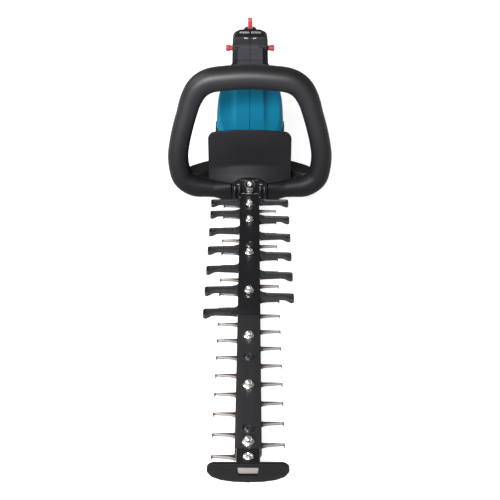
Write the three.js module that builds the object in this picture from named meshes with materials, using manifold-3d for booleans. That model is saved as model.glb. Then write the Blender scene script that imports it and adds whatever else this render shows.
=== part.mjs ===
// A battery hedge trimmer: motor housing, loop front handle, hand guard, D-shaped rear handle and a
// double-sided reciprocating blade with a plastic comb over its inner half.
// Millimetres, +Z up. The blade points along -Y and X is across it. The origin is on the flat underside
// of the gear case cover, below the crank's axis.
import * as THREE from "three";
import { mergeVertices } from "three/addons/utils/BufferGeometryUtils.js";
import Module from "manifold-3d";

const wasm = await Module();
wasm.setup();

// ---------------------------------------------------------------- driving dimensions
const GAP = 0.3; // between pieces that touch
const WALL = 3; // housing and handle wall

const TOOTH_PITCH = 29.8; // blade teeth, along the blade
const LEFT_TEETH = 17;
const RIGHT_TEETH = 16;
const BAR_HALF_WIDTH = 13.2; // guide bar, and the blades' spine
const TOOTH_REACH = 36; // centreline to tooth tip
const FIRST_RIGHT_TOOTH_Y = -79;
const FIRST_LEFT_TOOTH_Y = -65.2; // about half a pitch further in than the right
const BLADE_THICKNESS = 1.5;
const BAR_THICKNESS = 3;
const COMB_PITCH = 44.5;
const COMB_REACH = 53;
const STROKE_HALF = 7.5; // each blade moves this far either way, in opposite directions

const YOKE_THICKNESS = 3.5;
const LOWER_BLADE_Z = 11.9;
const UPPER_BLADE_Z = LOWER_BLADE_Z + BLADE_THICKNESS + GAP;
const LOWER_YOKE_Z = LOWER_BLADE_Z - GAP - YOKE_THICKNESS;
const UPPER_YOKE_Z = UPPER_BLADE_Z + BLADE_THICKNESS + GAP;
const BAR_Z = UPPER_BLADE_Z + BLADE_THICKNESS + GAP;
const COMB_Z = BAR_Z + BAR_THICKNESS + GAP;
const SPINE_THICKNESS = 3;

const BOLT_YS = [-72.5, -115, -195, -277.5, -360.5, -443.5, -526.5];
const BOLT_RADIUS = 2.5;
const TIP_BOLT_Y = -550.5;
const COMB_END_Y = -322;
const BAR_START_Y = -58;
const BAR_SHOULDER_Y = -534; // the bar narrows here for the tip guard
const BAR_NECK = 3.2;
const BAR_END_Y = -556.5;
const BLADE_ROOT_Y = -24;
const BLADE_ROOT_HALF = 10;
const BLADE_SHOULDER_Y = -53;
const BLADE_END_Y = -548;

const GEAR_MODULE = 1;
const CRANK_TEETH = 50;
const PINION_TEETH = 10;
const MOTOR_Y = (GEAR_MODULE * (CRANK_TEETH + PINION_TEETH)) / 2;
const CAM_RADIUS = 12;
const SHAFT_RADIUS = 4.4;

const LOOP_BASE_Y = -32; // the loop's plane at blade height
const LOOP_LEAN = 0.14; // backwards, per unit of height
const LOOP_BASE_Z = 15;
const GUARD_HALF_WIDTH = 57;

const BATTERY_HALF_WIDTH = 37.5;
const BATTERY_FRONT_Y = 180;
const BATTERY_REAR_Y = 296;
const BATTERY_HEIGHT = 47;

// ---------------------------------------------------------------- materials
function paint(hex, roughness, metalness = 0) {
  return new THREE.MeshStandardMaterial({ color: hex, roughness, metalness });
}
const teal = paint(0x0b6f92, 0.45);
const black = paint(0x232227, 0.55);
const softBlack = paint(0x2c2b30, 0.8);
const red = paint(0xc4202c, 0.4);
const steel = paint(0xb9b5b0, 0.3, 1);
const darkSteel = paint(0x2f2e32, 0.5, 0.6);
const castMetal = paint(0x303034, 0.6, 0.5);
const copper = paint(0xa05a2c, 0.4, 1);
const bronze = paint(0x9a7a45, 0.45, 1);
const board = paint(0x1d4d2c, 0.6);

// ---------------------------------------------------------------- solids from geometries
function solidOf(geometry) {
  const bare = new THREE.BufferGeometry();
  bare.setAttribute("position", geometry.getAttribute("position"));
  if (geometry.index) bare.setIndex(geometry.index);
  const merged = mergeVertices(bare, 1e-4);
  const made = new wasm.Manifold(
    new wasm.Mesh({
      numProp: 3,
      vertProperties: new Float32Array(merged.attributes.position.array),
      triVerts: new Uint32Array(merged.index.array),
    }),
  );
  return made;
}

function geometryOf(solid) {
  const mesh = solid.getMesh();
  const positions = new Float32Array(mesh.numVert * 3);
  for (let i = 0; i < mesh.numVert; i++) {
    positions.set(mesh.vertProperties.subarray(i * mesh.numProp, i * mesh.numProp + 3), i * 3);
  }
  const geometry = new THREE.BufferGeometry();
  geometry.setAttribute("position", new THREE.BufferAttribute(positions, 3));
  geometry.setIndex(new THREE.BufferAttribute(mesh.triVerts, 1));
  geometry.computeVertexNormals();
  return geometry;
}

const hedgeTrimmer = new THREE.Group();
function add(name, solid, material) {
  const mesh = new THREE.Mesh(geometryOf(solid), material);
  mesh.name = name;
  hedgeTrimmer.add(mesh);
}

function box([x0, x1], [y0, y1], [z0, z1]) {
  const geometry = new THREE.BoxGeometry(x1 - x0, y1 - y0, z1 - z0);
  return solidOf(geometry.translate((x0 + x1) / 2, (y0 + y1) / 2, (z0 + z1) / 2));
}

// An upright cylinder, and the same lying along X or Y.
function cylinderZ(radius, [z0, z1], x = 0, y = 0, sides = 20) {
  const geometry = new THREE.CylinderGeometry(radius, radius, z1 - z0, sides);
  return solidOf(geometry.rotateX(Math.PI / 2).translate(x, y, (z0 + z1) / 2));
}
function cylinderX(radius, [x0, x1], y, z, sides = 16) {
  const geometry = new THREE.CylinderGeometry(radius, radius, x1 - x0, sides);
  return solidOf(geometry.rotateZ(Math.PI / 2).translate((x0 + x1) / 2, y, z));
}
function cylinderY(radius, [y0, y1], x, z, sides = 12) {
  const geometry = new THREE.CylinderGeometry(radius, radius, y1 - y0, sides);
  return solidOf(geometry.translate(x, (y0 + y1) / 2, z));
}

function shapeOf(points) {
  return new THREE.Shape(points.map(([a, b]) => new THREE.Vector2(a, b)));
}
// An outline in X and Y, raised along Z.
function prismZ(outline, [z0, z1]) {
  const shape = outline instanceof THREE.Shape ? outline : shapeOf(outline);
  const geometry = new THREE.ExtrudeGeometry(shape, {
    depth: z1 - z0,
    bevelEnabled: false,
    curveSegments: 3,
  });
  return solidOf(geometry.translate(0, 0, z0));
}
// An outline in Y and Z, drawn across X with rounded edges of the given size.
function prismX(outline, halfWidth, rounding = 0) {
  const shape = outline instanceof THREE.Shape ? outline : shapeOf(outline);
  const geometry = new THREE.ExtrudeGeometry(shape, {
    depth: 2 * (halfWidth - rounding),
    bevelEnabled: rounding > 0,
    bevelSize: rounding,
    bevelOffset: -rounding,
    bevelThickness: rounding,
    bevelSegments: 3,
    curveSegments: 5,
  });
  geometry.translate(0, 0, -(halfWidth - rounding));
  const turn = new THREE.Matrix4().set(0, 0, 1, 0, 1, 0, 0, 0, 0, 1, 0, 0, 0, 0, 0, 1);
  return solidOf(geometry.applyMatrix4(turn));
}

// A solid through a row of rings with the same number of points; `flat` maps a point to the plane of
// the end rings.
function loft(rings, flat) {
  const count = rings[0].length;
  const positions = rings.flat().flatMap((p) => [p.x, p.y, p.z]);
  const faces = [];
  for (let i = 0; i + 1 < rings.length; i++) {
    for (let j = 0; j < count; j++) {
      const a = i * count + j;
      const b = i * count + ((j + 1) % count);
      faces.push(a, b, b + count, a, b + count, a + count);
    }
  }
  const last = (rings.length - 1) * count;
  const turned = THREE.ShapeUtils.area(rings[0].map(flat)) < 0;
  const capOf = (ring) => {
    const outline = ring.map(flat);
    return THREE.ShapeUtils.triangulateShape(turned ? outline.reverse() : outline, []);
  };
  const index = (k) => (turned ? count - 1 - k : k);
  for (const [a, b, c] of capOf(rings[0])) {
    const corner = [index(a), index(b), index(c)];
    if (turned) corner.reverse();
    faces.push(corner[2], corner[1], corner[0]);
  }
  for (const [a, b, c] of capOf(rings[rings.length - 1])) {
    const corner = [last + index(a), last + index(b), last + index(c)];
    if (turned) corner.reverse();
    faces.push(corner[0], corner[1], corner[2]);
  }
  const build = (order) => {
    const geometry = new THREE.BufferGeometry();
    geometry.setAttribute("position", new THREE.Float32BufferAttribute(positions, 3));
    geometry.setIndex(order);
    return solidOf(geometry);
  };
  const made = build(faces);
  return made.volume() > 0 ? made : build(faces.slice().reverse());
}

// A rounded rectangle across X and Z at one place along Y.
function section({ y, half, bottom, top, radius }, inset = 0) {
  const points = [];
  const w = half - inset;
  const low = bottom + inset;
  const high = top - inset;
  const r = Math.max(1, radius - inset);
  const steps = 4;
  const corners = [
    [w - r, high - r, 0],
    [-(w - r), high - r, 90],
    [-(w - r), low + r, 180],
    [w - r, low + r, 270],
  ];
  for (const [cx, cz, start] of corners) {
    for (let i = 0; i <= steps; i++) {
      const angle = THREE.MathUtils.degToRad(start + (90 * i) / steps);
      points.push(new THREE.Vector3(cx + r * Math.cos(angle), y, cz + r * Math.sin(angle)));
    }
  }
  return points;
}
const acrossY = (p) => new THREE.Vector2(p.x, p.z);

// ---------------------------------------------------------------- blades, guide bar and comb
// One tooth, from its root on the spine to its hooked tip; `side` is 1 on the right and -1 on the left.
// y is the tooth's middle, and the hook points along -Y.
function toothPoints(side, y) {
  const root = side * BAR_HALF_WIDTH;
  const tip = side * TOOTH_REACH;
  return [
    [root, y + 3],
    [tip, y + 1.4],
    [tip, y - 3.8],
    [tip - side * 1.4, y - 3.8],
    [tip - side * 2.4, y - 0.5],
    [root, y - 3.4],
  ];
}

function roundHole(x, y, radius) {
  const hole = new THREE.Path();
  hole.absarc(x, y, radius, 0, Math.PI, false);
  hole.absarc(x, y, radius, Math.PI, 2 * Math.PI, false);
  return hole;
}
const SLOT_HALF = STROKE_HALF + BOLT_RADIUS + 0.6;
function slotHole(y, halfLength, radius) {
  const hole = new THREE.Path();
  hole.absarc(0, y + halfLength - radius, radius, 0, Math.PI, false);
  hole.absarc(0, y - halfLength + radius, radius, Math.PI, 2 * Math.PI, false);
  return hole;
}

function bladeSolid(z) {
  const right = [];
  const left = [];
  for (let k = 0; k < RIGHT_TEETH; k++) {
    right.push(...toothPoints(1, FIRST_RIGHT_TOOTH_Y - k * TOOTH_PITCH));
  }
  for (let k = 0; k < LEFT_TEETH; k++) {
    left.unshift(...toothPoints(-1, FIRST_LEFT_TOOTH_Y - k * TOOTH_PITCH).reverse());
  }
  const outline = shapeOf([
    [BLADE_ROOT_HALF, BLADE_ROOT_Y],
    [BLADE_ROOT_HALF, BLADE_SHOULDER_Y],
    [BAR_HALF_WIDTH, BLADE_SHOULDER_Y - 3],
    ...right,
    [BAR_HALF_WIDTH, BLADE_END_Y + 10],
    [BAR_HALF_WIDTH - 5, BLADE_END_Y],
    [-(BAR_HALF_WIDTH - 5), BLADE_END_Y],
    [-BAR_HALF_WIDTH, BLADE_END_Y + 2],
    ...left,
    [-BAR_HALF_WIDTH, BLADE_SHOULDER_Y - 3],
    [-BLADE_ROOT_HALF, BLADE_SHOULDER_Y],
    [-BLADE_ROOT_HALF, BLADE_ROOT_Y],
  ]);
  for (const y of BOLT_YS) outline.holes.push(slotHole(y, SLOT_HALF, BOLT_RADIUS + 0.6));
  for (const x of RIVET_XS) outline.holes.push(roundHole(x, RIVET_Y, RIVET_RADIUS + GAP));
  return prismZ(outline, [z, z + BLADE_THICKNESS]);
}

const RIVET_XS = [-5.5, 5.5];
const RIVET_Y = -34;
const RIVET_RADIUS = 1.8;
// A scotch yoke: a frame round the cam, a neck over the blade's root and two rivets into it.
function yokeSolid(z, rivetSpan) {
  const slack = 1.9; // the cam's play along the blade
  const innerX = CAM_RADIUS + STROKE_HALF + 0.8;
  const innerY = CAM_RADIUS + slack;
  const rim = 5;
  const level = [z, z + YOKE_THICKNESS];
  const frame = box([-innerX - rim, innerX + rim], [-innerY - rim, innerY + rim], level);
  const window = box([-innerX, innerX], [-innerY, innerY], [z - 1, z + YOKE_THICKNESS + 1]);
  let made = frame.subtract(window).add(box([-9, 9], [-38, -innerY - 1], level));
  for (const x of RIVET_XS) made = made.add(cylinderZ(RIVET_RADIUS, rivetSpan, x, RIVET_Y, 12));
  return made;
}

function buildBlades() {
  add("upper_blade", bladeSolid(UPPER_BLADE_Z), steel);
  add("lower_blade", bladeSolid(LOWER_BLADE_Z), steel);
  add("upper_yoke", yokeSolid(UPPER_YOKE_Z, [UPPER_BLADE_Z, UPPER_YOKE_Z + 1]), castMetal);
  const lowerRivets = [LOWER_YOKE_Z + 1, LOWER_BLADE_Z + BLADE_THICKNESS];
  add("lower_yoke", yokeSolid(LOWER_YOKE_Z, lowerRivets), castMetal);

  const bar = shapeOf([
    [BAR_HALF_WIDTH, BAR_START_Y],
    [BAR_HALF_WIDTH, BAR_SHOULDER_Y],
    [BAR_HALF_WIDTH - BAR_NECK, BAR_SHOULDER_Y - 4],
    [BAR_HALF_WIDTH - BAR_NECK, BAR_END_Y],
    [-(BAR_HALF_WIDTH - BAR_NECK), BAR_END_Y],
    [-(BAR_HALF_WIDTH - BAR_NECK), BAR_SHOULDER_Y - 4],
    [-BAR_HALF_WIDTH, BAR_SHOULDER_Y],
    [-BAR_HALF_WIDTH, BAR_START_Y],
  ]);
  for (const y of [...BOLT_YS, TIP_BOLT_Y]) bar.holes.push(roundHole(0, y, BOLT_RADIUS + GAP));
  for (const y of OIL_HOLE_YS) bar.holes.push(roundHole(0, y, OIL_HOLE_RADIUS));
  const upturn = box([-10, 10], [BAR_END_Y - 4.5, BAR_END_Y + 0.5], [11, BAR_Z + BAR_THICKNESS]);
  add("guide_bar", prismZ(bar, [BAR_Z, BAR_Z + BAR_THICKNESS]).add(upturn), darkSteel);
}
const OIL_HOLE_YS = [-176, -286, -397, -508];
const OIL_HOLE_RADIUS = 2.2;

// Comb teeth reach past the blade teeth and end in a hook; y is the rear edge of the tip.
function combTooth(side, y) {
  const root = side * (BAR_HALF_WIDTH - 1);
  const tip = side * COMB_REACH;
  return [
    [root, y + 7],
    [side * (BAR_HALF_WIDTH + 2), y + 3.5],
    [side * (BAR_HALF_WIDTH + 8), y + 1],
    [tip - side * 2, y],
    [tip, y - 2],
    [tip, y - 11.5],
    [tip - side * 3, y - 13],
    [tip - side * 6, y - 11],
    [tip - side * 10, y - 7.2],
    [tip - side * 14, y - 6.4],
    [side * (BAR_HALF_WIDTH + 6), y - 7.6],
    [root, y - 9],
  ];
}
const COMB_RIGHT_YS = Array.from({ length: 6 }, (_, k) => -60.5 - k * COMB_PITCH);
const COMB_LEFT_YS = [-60.5, ...Array.from({ length: 6 }, (_, k) => -91 - k * COMB_PITCH)];

function buildComb() {
  const spine = shapeOf([
    [BAR_HALF_WIDTH, -46],
    [BAR_HALF_WIDTH, COMB_END_Y],
    [-BAR_HALF_WIDTH, COMB_END_Y],
    [-BAR_HALF_WIDTH, -46],
  ]);
  const onComb = (y) => y > COMB_END_Y;
  for (const y of BOLT_YS.filter(onComb)) spine.holes.push(roundHole(0, y, BOLT_RADIUS + GAP));
  for (const y of OIL_HOLE_YS.filter(onComb)) spine.holes.push(roundHole(0, y, OIL_HOLE_RADIUS));
  let comb = prismZ(spine, [COMB_Z, COMB_Z + SPINE_THICKNESS]);
  const teeth = [
    ...COMB_RIGHT_YS.map((y) => combTooth(1, y)),
    ...COMB_LEFT_YS.map((y) => combTooth(-1, y).reverse()),
  ];
  for (const outline of teeth) {
    const blank = prismZ(outline, [UPPER_BLADE_Z + BLADE_THICKNESS + 1, COMB_Z + SPINE_THICKNESS]);
    const clear = box(
      [-BAR_HALF_WIDTH - GAP, BAR_HALF_WIDTH + GAP],
      [-400, 0],
      [0, COMB_Z],
    );
    comb = comb.add(blank.subtract(clear));
  }
  add("comb_guard", comb, black);
}

// Hexagon bolts from below with a flanged cap nut on top.
function buildBladeFasteners() {
  BOLT_YS.forEach((y, i) => {
    const onTongue = y > GEAR_CASE.tongueEnd;
    const headTop = onTongue ? TONGUE_Z[0] - GAP : LOWER_BLADE_Z - GAP;
    const onComb = y > COMB_END_Y;
    const seat = (onComb ? COMB_Z + SPINE_THICKNESS : BAR_Z + BAR_THICKNESS) + GAP;
    const head = cylinderZ(5.5, [headTop - 2.6, headTop], 0, y, 6);
    const shank = cylinderZ(BOLT_RADIUS, [headTop - 1, seat + 3.2], 0, y, 12);
    add(`blade_bolt_${i + 1}`, head.add(shank), darkSteel);
    const nut = cylinderZ(4.6, [seat, seat + 4.4], 0, y, 6)
      .add(cylinderZ(5.8, [seat, seat + 1.2], 0, y, 18))
      .add(cylinderZ(3.4, [seat + 4, seat + 5.6], 0, y, 12))
      .subtract(cylinderZ(BOLT_RADIUS + GAP, [seat - 1, seat + 3.6], 0, y, 12));
    add(`blade_nut_${i + 1}`, nut, steel);
  });
}

function buildTipGuard() {
  const plateY = [-561.8, -558];
  const plate = new THREE.Shape();
  plate.moveTo(-39, 20);
  plate.absarc(-33, 18, 6, Math.PI / 2 + 0.3, Math.PI, false);
  plate.bezierCurveTo(-39, 6, -20, 0, 0, 0);
  plate.bezierCurveTo(20, 0, 39, 6, 39, 18);
  plate.absarc(33, 18, 6, 0, Math.PI / 2, false);
  plate.lineTo(-33, 24);
  const face = new THREE.Shape(plate.getPoints(6).slice(1));
  const geometry = new THREE.ExtrudeGeometry(face, {
    depth: plateY[1] - plateY[0],
    bevelEnabled: false,
    curveSegments: 6,
  });
  geometry.rotateX(Math.PI / 2).translate(0, plateY[1], 0);
  const window = box([-12.5, 12.5], [-570, -550], [9, 20]);
  const bossZ = [BAR_Z + BAR_THICKNESS + GAP, 22];
  const boss = box([-11.5, 11.5], [-559, -538.5], bossZ);
  const hole = cylinderZ(BOLT_RADIUS + GAP, [0, 30], 0, TIP_BOLT_Y, 12);
  add("tip_guard", solidOf(geometry).subtract(window).add(boss).subtract(hole), black);
  const head = cylinderZ(5.2, [bossZ[1] + GAP, bossZ[1] + 3.3], 0, TIP_BOLT_Y, 16);
  const shank = cylinderZ(BOLT_RADIUS, [BAR_Z, bossZ[1] + 1], 0, TIP_BOLT_Y, 12);
  add("tip_screw", head.add(shank), steel);
}

// ---------------------------------------------------------------- gear case and drive
const GEAR_CASE = {
  halfWidth: 33,
  front: -36,
  rear: 62,
  bottom: 4.3,
  top: 42,
  noseHalf: 25,
  noseFront: -45,
  noseTop: 45,
  tongueEnd: -120,
};
const TONGUE_Z = [4.3, LOWER_BLADE_Z - GAP];

function roundedRect(x0, x1, y0, y1, r) {
  const shape = new THREE.Shape();
  shape.absarc(x1 - r, y1 - r, r, 0, Math.PI / 2, false);
  shape.absarc(x0 + r, y1 - r, r, Math.PI / 2, Math.PI, false);
  shape.absarc(x0 + r, y0 + r, r, Math.PI, 1.5 * Math.PI, false);
  shape.absarc(x1 - r, y0 + r, r, 1.5 * Math.PI, 2 * Math.PI, false);
  return shape;
}

function buildGearCase() {
  const g = GEAR_CASE;
  const body = prismZ(roundedRect(-g.halfWidth, g.halfWidth, g.front, g.rear, 9), [g.bottom, g.top]);
  const cavity = prismZ(roundedRect(-29.5, 29.5, -31, 41, 6), [g.bottom - 1, 38.3]);
  const noseRing = (y, inset) =>
    section({ y, half: g.noseHalf, bottom: g.bottom, top: g.noseTop, radius: 9 }, inset);
  const nose = loft([noseRing(-33, 0), noseRing(g.noseFront + 2, 0), noseRing(g.noseFront, 1.5)], acrossY);
  const neckSlot = box([-14, 14], [g.noseFront - 2, -30], [LOWER_YOKE_Z - GAP, 19.6]);
  const tongue = box([-12, 12], [g.tongueEnd, -48.3], TONGUE_Z).add(
    box([-12, 12], [-49, -40], [g.bottom, LOWER_YOKE_Z - GAP]),
  );
  const bearingBoss = cylinderZ(14.5, [30.5, 40], 0, 0, 28);
  const bearingPocket = cylinderZ(11.3, [29, 38.3], 0, 0, 28);
  const shaftHole = cylinderZ(4, [30, 50], 0, MOTOR_Y, 16);
  const motorSeat = cylinderZ(11, [40, 47], 0, MOTOR_Y, 20).subtract(
    cylinderZ(8.3, [42.4, 50], 0, MOTOR_Y, 20),
  );
  let made = body.subtract(cavity).add(nose);
  made = made.subtract(neckSlot).add(tongue).add(motorSeat);
  made = made.add(bearingBoss).subtract(bearingPocket).subtract(shaftHole);
  for (const y of BOLT_YS.filter((y) => y > g.tongueEnd)) {
    made = made.subtract(cylinderZ(BOLT_RADIUS + GAP, [0, 20], 0, y, 12));
  }
  made = made.subtract(cylinderY(2.6, [-60, -38.5], 0, 38.5));
  add("gear_case", made, castMetal);

  const noseScrew = cylinderY(2.3, [g.noseFront - 1, -39], 0, 38.5).add(
    cylinderY(4.6, [g.noseFront - 3.8, g.noseFront - GAP], 0, 38.5, 16),
  );
  add("nose_screw", noseScrew, steel);

  const cover = prismZ(roundedRect(-38, 38, -16, 66, 10), [0, 4])
    .add(cylinderZ(10, [2, 6.5], 0, 0, 24))
    .subtract(cylinderZ(7.8, [1.2, 8], 0, 0, 24));
  add("gear_case_cover", cover, black);
  const bush = cylinderZ(7.5, [1.5, 6.4], 0, 0, 20).subtract(
    cylinderZ(SHAFT_RADIUS + 0.2, [0, 8], 0, 0, 20),
  );
  add("crank_bush", bush, bronze);
  const bearing = cylinderZ(11, [31, 38], 0, 0, 24).subtract(
    cylinderZ(SHAFT_RADIUS + GAP, [30, 40], 0, 0, 20),
  );
  add("crank_bearing", bearing, steel);
}

// Spur gear outline with stub involute teeth; `phase` is the angle of the first tooth's middle.
function gearOutline(teeth, phase) {
  const pressure = THREE.MathUtils.degToRad(25);
  const pitchRadius = (GEAR_MODULE * teeth) / 2;
  const baseRadius = pitchRadius * Math.cos(pressure);
  const tipRadius = pitchRadius + 0.8 * GEAR_MODULE;
  const rootRadius = pitchRadius - 1.15 * GEAR_MODULE;
  const backlash = 0.3;
  const involute = (a) => Math.tan(a) - a;
  const halfAtPitch = (Math.PI * GEAR_MODULE - backlash) / 4 / pitchRadius;
  const flank = [];
  const steps = 3;
  const startRadius = Math.max(baseRadius, rootRadius + 0.2);
  for (let i = 0; i <= steps; i++) {
    const r = startRadius + ((tipRadius - startRadius) * i) / steps;
    const angle = Math.acos(Math.min(1, baseRadius / r));
    flank.push([r, halfAtPitch + involute(pressure) - involute(angle)]);
  }
  const points = [];
  for (let k = 0; k < teeth; k++) {
    const middle = phase + (2 * Math.PI * k) / teeth;
    const polar = (r, a) => points.push([r * Math.cos(middle + a), r * Math.sin(middle + a)]);
    polar(rootRadius, -flank[0][1] - 0.004);
    for (const [r, a] of flank) polar(r, -a);
    for (const [r, a] of flank.slice().reverse()) polar(r, a);
    polar(rootRadius, flank[0][1] + 0.004);
  }
  return points;
}

function buildDrive() {
  const level = (z) => [z, z + YOKE_THICKNESS];
  const lowerCam = cylinderZ(CAM_RADIUS, level(LOWER_YOKE_Z), -STROKE_HALF, 0, 32);
  const upperCam = cylinderZ(CAM_RADIUS, level(UPPER_YOKE_Z), STROKE_HALF, 0, 32);
  const shaft = cylinderZ(SHAFT_RADIUS, [1.9, 37.6], 0, 0, 20);
  add("crankshaft", shaft.add(lowerCam).add(upperCam), steel);

  const gearLevel = [22, 29];
  const gear = prismZ(gearOutline(CRANK_TEETH, 0), gearLevel).subtract(
    cylinderZ(SHAFT_RADIUS + GAP, [20, 30], 0, 0, 20),
  );
  add("crank_gear", gear, steel);

  const toothAtCrank = Math.PI / PINION_TEETH;
  const pinion = prismZ(gearOutline(PINION_TEETH, toothAtCrank), [21.5, 29.5])
    .translate([0, MOTOR_Y, 0])
    .add(cylinderZ(2.8, [20.5, 104], 0, MOTOR_Y, 14));
  add("motor_shaft", pinion, steel);

  const ring = (inner, outer, level, sides = 24) =>
    cylinderZ(outer, level, 0, MOTOR_Y, sides).subtract(
      cylinderZ(inner, [level[0] - 1, level[1] + 1], 0, MOTOR_Y, sides),
    );
  add("motor_bearing_lower", ring(3.1, 8, [43, 48], 20), steel);
  add("motor_bearing_upper", ring(3.1, 7, [98, 102], 20), steel);
  add("motor_stator", ring(17, 30, [52, 84]), castMetal);
  add("stator_winding", ring(18.5, 26, [84.3, 88], 24), copper);
  add("rotor_core", ring(3.1, 16, [53, 83]), darkSteel);
  let fan = ring(3.1, 10, [89, 96]);
  for (let k = 0; k < 9; k++) {
    const blade = box([6, 26], [-0.9, 0.9], [89.5, 95.5]).rotate([0, 0, 40 * k]);
    fan = fan.add(blade.translate([0, MOTOR_Y, 0]));
  }
  add("cooling_fan", fan.subtract(cylinderZ(3.1, [80, 100], 0, MOTOR_Y, 14)), black);
}

// ---------------------------------------------------------------- motor housing
const HOUSING_SECTIONS = [
  { y: -14, half: 45, bottom: 4.3, top: 93, radius: 13 },
  { y: 6, half: 46.5, bottom: 4.3, top: 102, radius: 13 },
  { y: 36, half: 47, bottom: 4.3, top: 114.5, radius: 13 },
  { y: 68, half: 46, bottom: 4.3, top: 127, radius: 14 },
  { y: 98, half: 42.5, bottom: 8, top: 132.5, radius: 15 },
  { y: 118, half: 38.5, bottom: 24, top: 135, radius: 16 },
  { y: 130, half: 35, bottom: 38, top: 136.5, radius: 16 },
];
const SCREW_SEAT_X = 32;
const TROUGH_DEPTH = 5.5;

function roofHeight(y) {
  const next = Math.max(1, HOUSING_SECTIONS.findIndex((s) => s.y >= y));
  const [a, b] = HOUSING_SECTIONS.slice(next - 1, next + 1);
  return a.top + ((b.top - a.top) * (y - a.y)) / (b.y - a.y);
}

// A trough along the roof beside its raised middle panel, steep on the inner side and fading out to
// the front; `grow` widens and deepens it for the lining below.
function roofTrough(side, grow) {
  const shares = [
    [-8, 0],
    [14, 0.6],
    [40, 1],
    [84, 1],
    [130, 1],
  ];
  const rings = shares.map(([y, share]) => {
    const roof = roofHeight(y);
    const depth = TROUGH_DEPTH * share + grow;
    return [
      [19 - grow, roof + 8],
      [19.6 - grow, roof - depth + 0.6],
      [22.5, roof - depth],
      [34 + grow, roof + 1 - grow],
      [37 + grow, roof + 8],
    ].map(([x, z]) => new THREE.Vector3(side * x, y, z));
  });
  rings.push(rings.at(-1).map((p) => new THREE.Vector3(p.x, p.y + 6, p.z + 0.6)));
  return loft(rings, acrossY);
}
const HOUSING_SCREWS = [
  [-6, 82],
  [74, 112],
  [74, 16],
  [118, 60],
];

function buildHousing() {
  let outer = loft(HOUSING_SECTIONS.map((s) => section(s)), acrossY);
  const ends = HOUSING_SECTIONS.map((s, i) => {
    const inward = i === 0 ? WALL : i === HOUSING_SECTIONS.length - 1 ? -WALL : 0;
    return { ...s, y: s.y + inward };
  });
  let inner = loft(ends.map((s) => section(s, WALL)), acrossY);
  for (const side of [-1, 1]) {
    outer = outer.subtract(roofTrough(side, 0));
    inner = inner.subtract(roofTrough(side, WALL));
  }
  let shell = outer.subtract(inner);
  for (const [y, z] of HOUSING_SCREWS) {
    shell = shell.add(cylinderX(5.5, [-60, 60], y, z, 14).intersect(outer));
  }
  const seat = cylinderZ(10, [97.5, 125], 0, MOTOR_Y, 20).intersect(outer);
  shell = shell.add(seat).subtract(cylinderZ(7.3, [90, 102.3], 0, MOTOR_Y, 20));
  shell = shell.subtract(cylinderZ(3.4, [100, 105], 0, MOTOR_Y, 14));
  const opening = box([-GEAR_CASE.halfWidth - GAP, GEAR_CASE.halfWidth + GAP], [-50, 62.5], [0, 44]);
  shell = shell.subtract(opening);
  for (const [y, z] of HOUSING_SCREWS) {
    shell = shell.subtract(cylinderX(2.1, [-25, 60], y, z, 12));
    shell = shell.subtract(cylinderX(4.2, [SCREW_SEAT_X, 60], y, z, 14));
  }
  for (const side of [-1, 1]) {
    for (let k = 0; k < 5; k++) {
      const z = 40 + 8 * k;
      const slot = box([side * 30, side * 60].sort((a, b) => a - b), [76, 96], [z, z + 3.5]);
      shell = shell.subtract(slot);
    }
  }
  add("housing_left", shell.trimByPlane([-1, 0, 0], 0.15), teal);
  add("housing_right", shell.trimByPlane([1, 0, 0], 0.15), teal);
  HOUSING_SCREWS.forEach(([y, z], i) => {
    const head = cylinderX(3.8, [SCREW_SEAT_X + GAP, SCREW_SEAT_X + 2.8], y, z, 12);
    const shank = cylinderX(1.8, [-20, SCREW_SEAT_X + 1], y, z, 10);
    add(`housing_screw_${i + 1}`, head.add(shank), darkSteel);
  });
  const controller = box([-24, 24], [72, 108], [34, 48]).add(box([-21, 21], [74, 106], [47, 51]));
  add("motor_controller", controller, board);
}

// ---------------------------------------------------------------- front handle and hand guard
// The loop's centreline above its base: across, and up from the base, with the tube's size in the loop's
// plane and square to it.
const LOOP_POINTS = [
  { x: 36, z: 8, wide: 26, deep: 26 },
  { x: 47, z: 8.5, wide: 26, deep: 27 },
  { x: 60, z: 10, wide: 28, deep: 28 },
  { x: 77.5, z: 12.5, wide: 31, deep: 30 },
  { x: 92.5, z: 22.5, wide: 30, deep: 30 },
  { x: 98, z: 39, wide: 29, deep: 30 },
  { x: 99, z: 58, wide: 28.5, deep: 30 },
  { x: 95.8, z: 78, wide: 28.5, deep: 30 },
  { x: 91.2, z: 97, wide: 28.5, deep: 30 },
  { x: 85.8, z: 115, wide: 28.5, deep: 30 },
  { x: 79.6, z: 134, wide: 30, deep: 31 },
  { x: 69.4, z: 150.6, wide: 32, deep: 33 },
  { x: 53.5, z: 160.3, wide: 33, deep: 35 },
  { x: 28, z: 164, wide: 33, deep: 36 },
  { x: 0, z: 165.5, wide: 33, deep: 36 },
];
const LOOP_NORMAL = new THREE.Vector3(0, -1, LOOP_LEAN).normalize();

function loopPoint(x, z) {
  return new THREE.Vector3(x, LOOP_BASE_Y + LOOP_LEAN * z, LOOP_BASE_Z + z);
}

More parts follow.
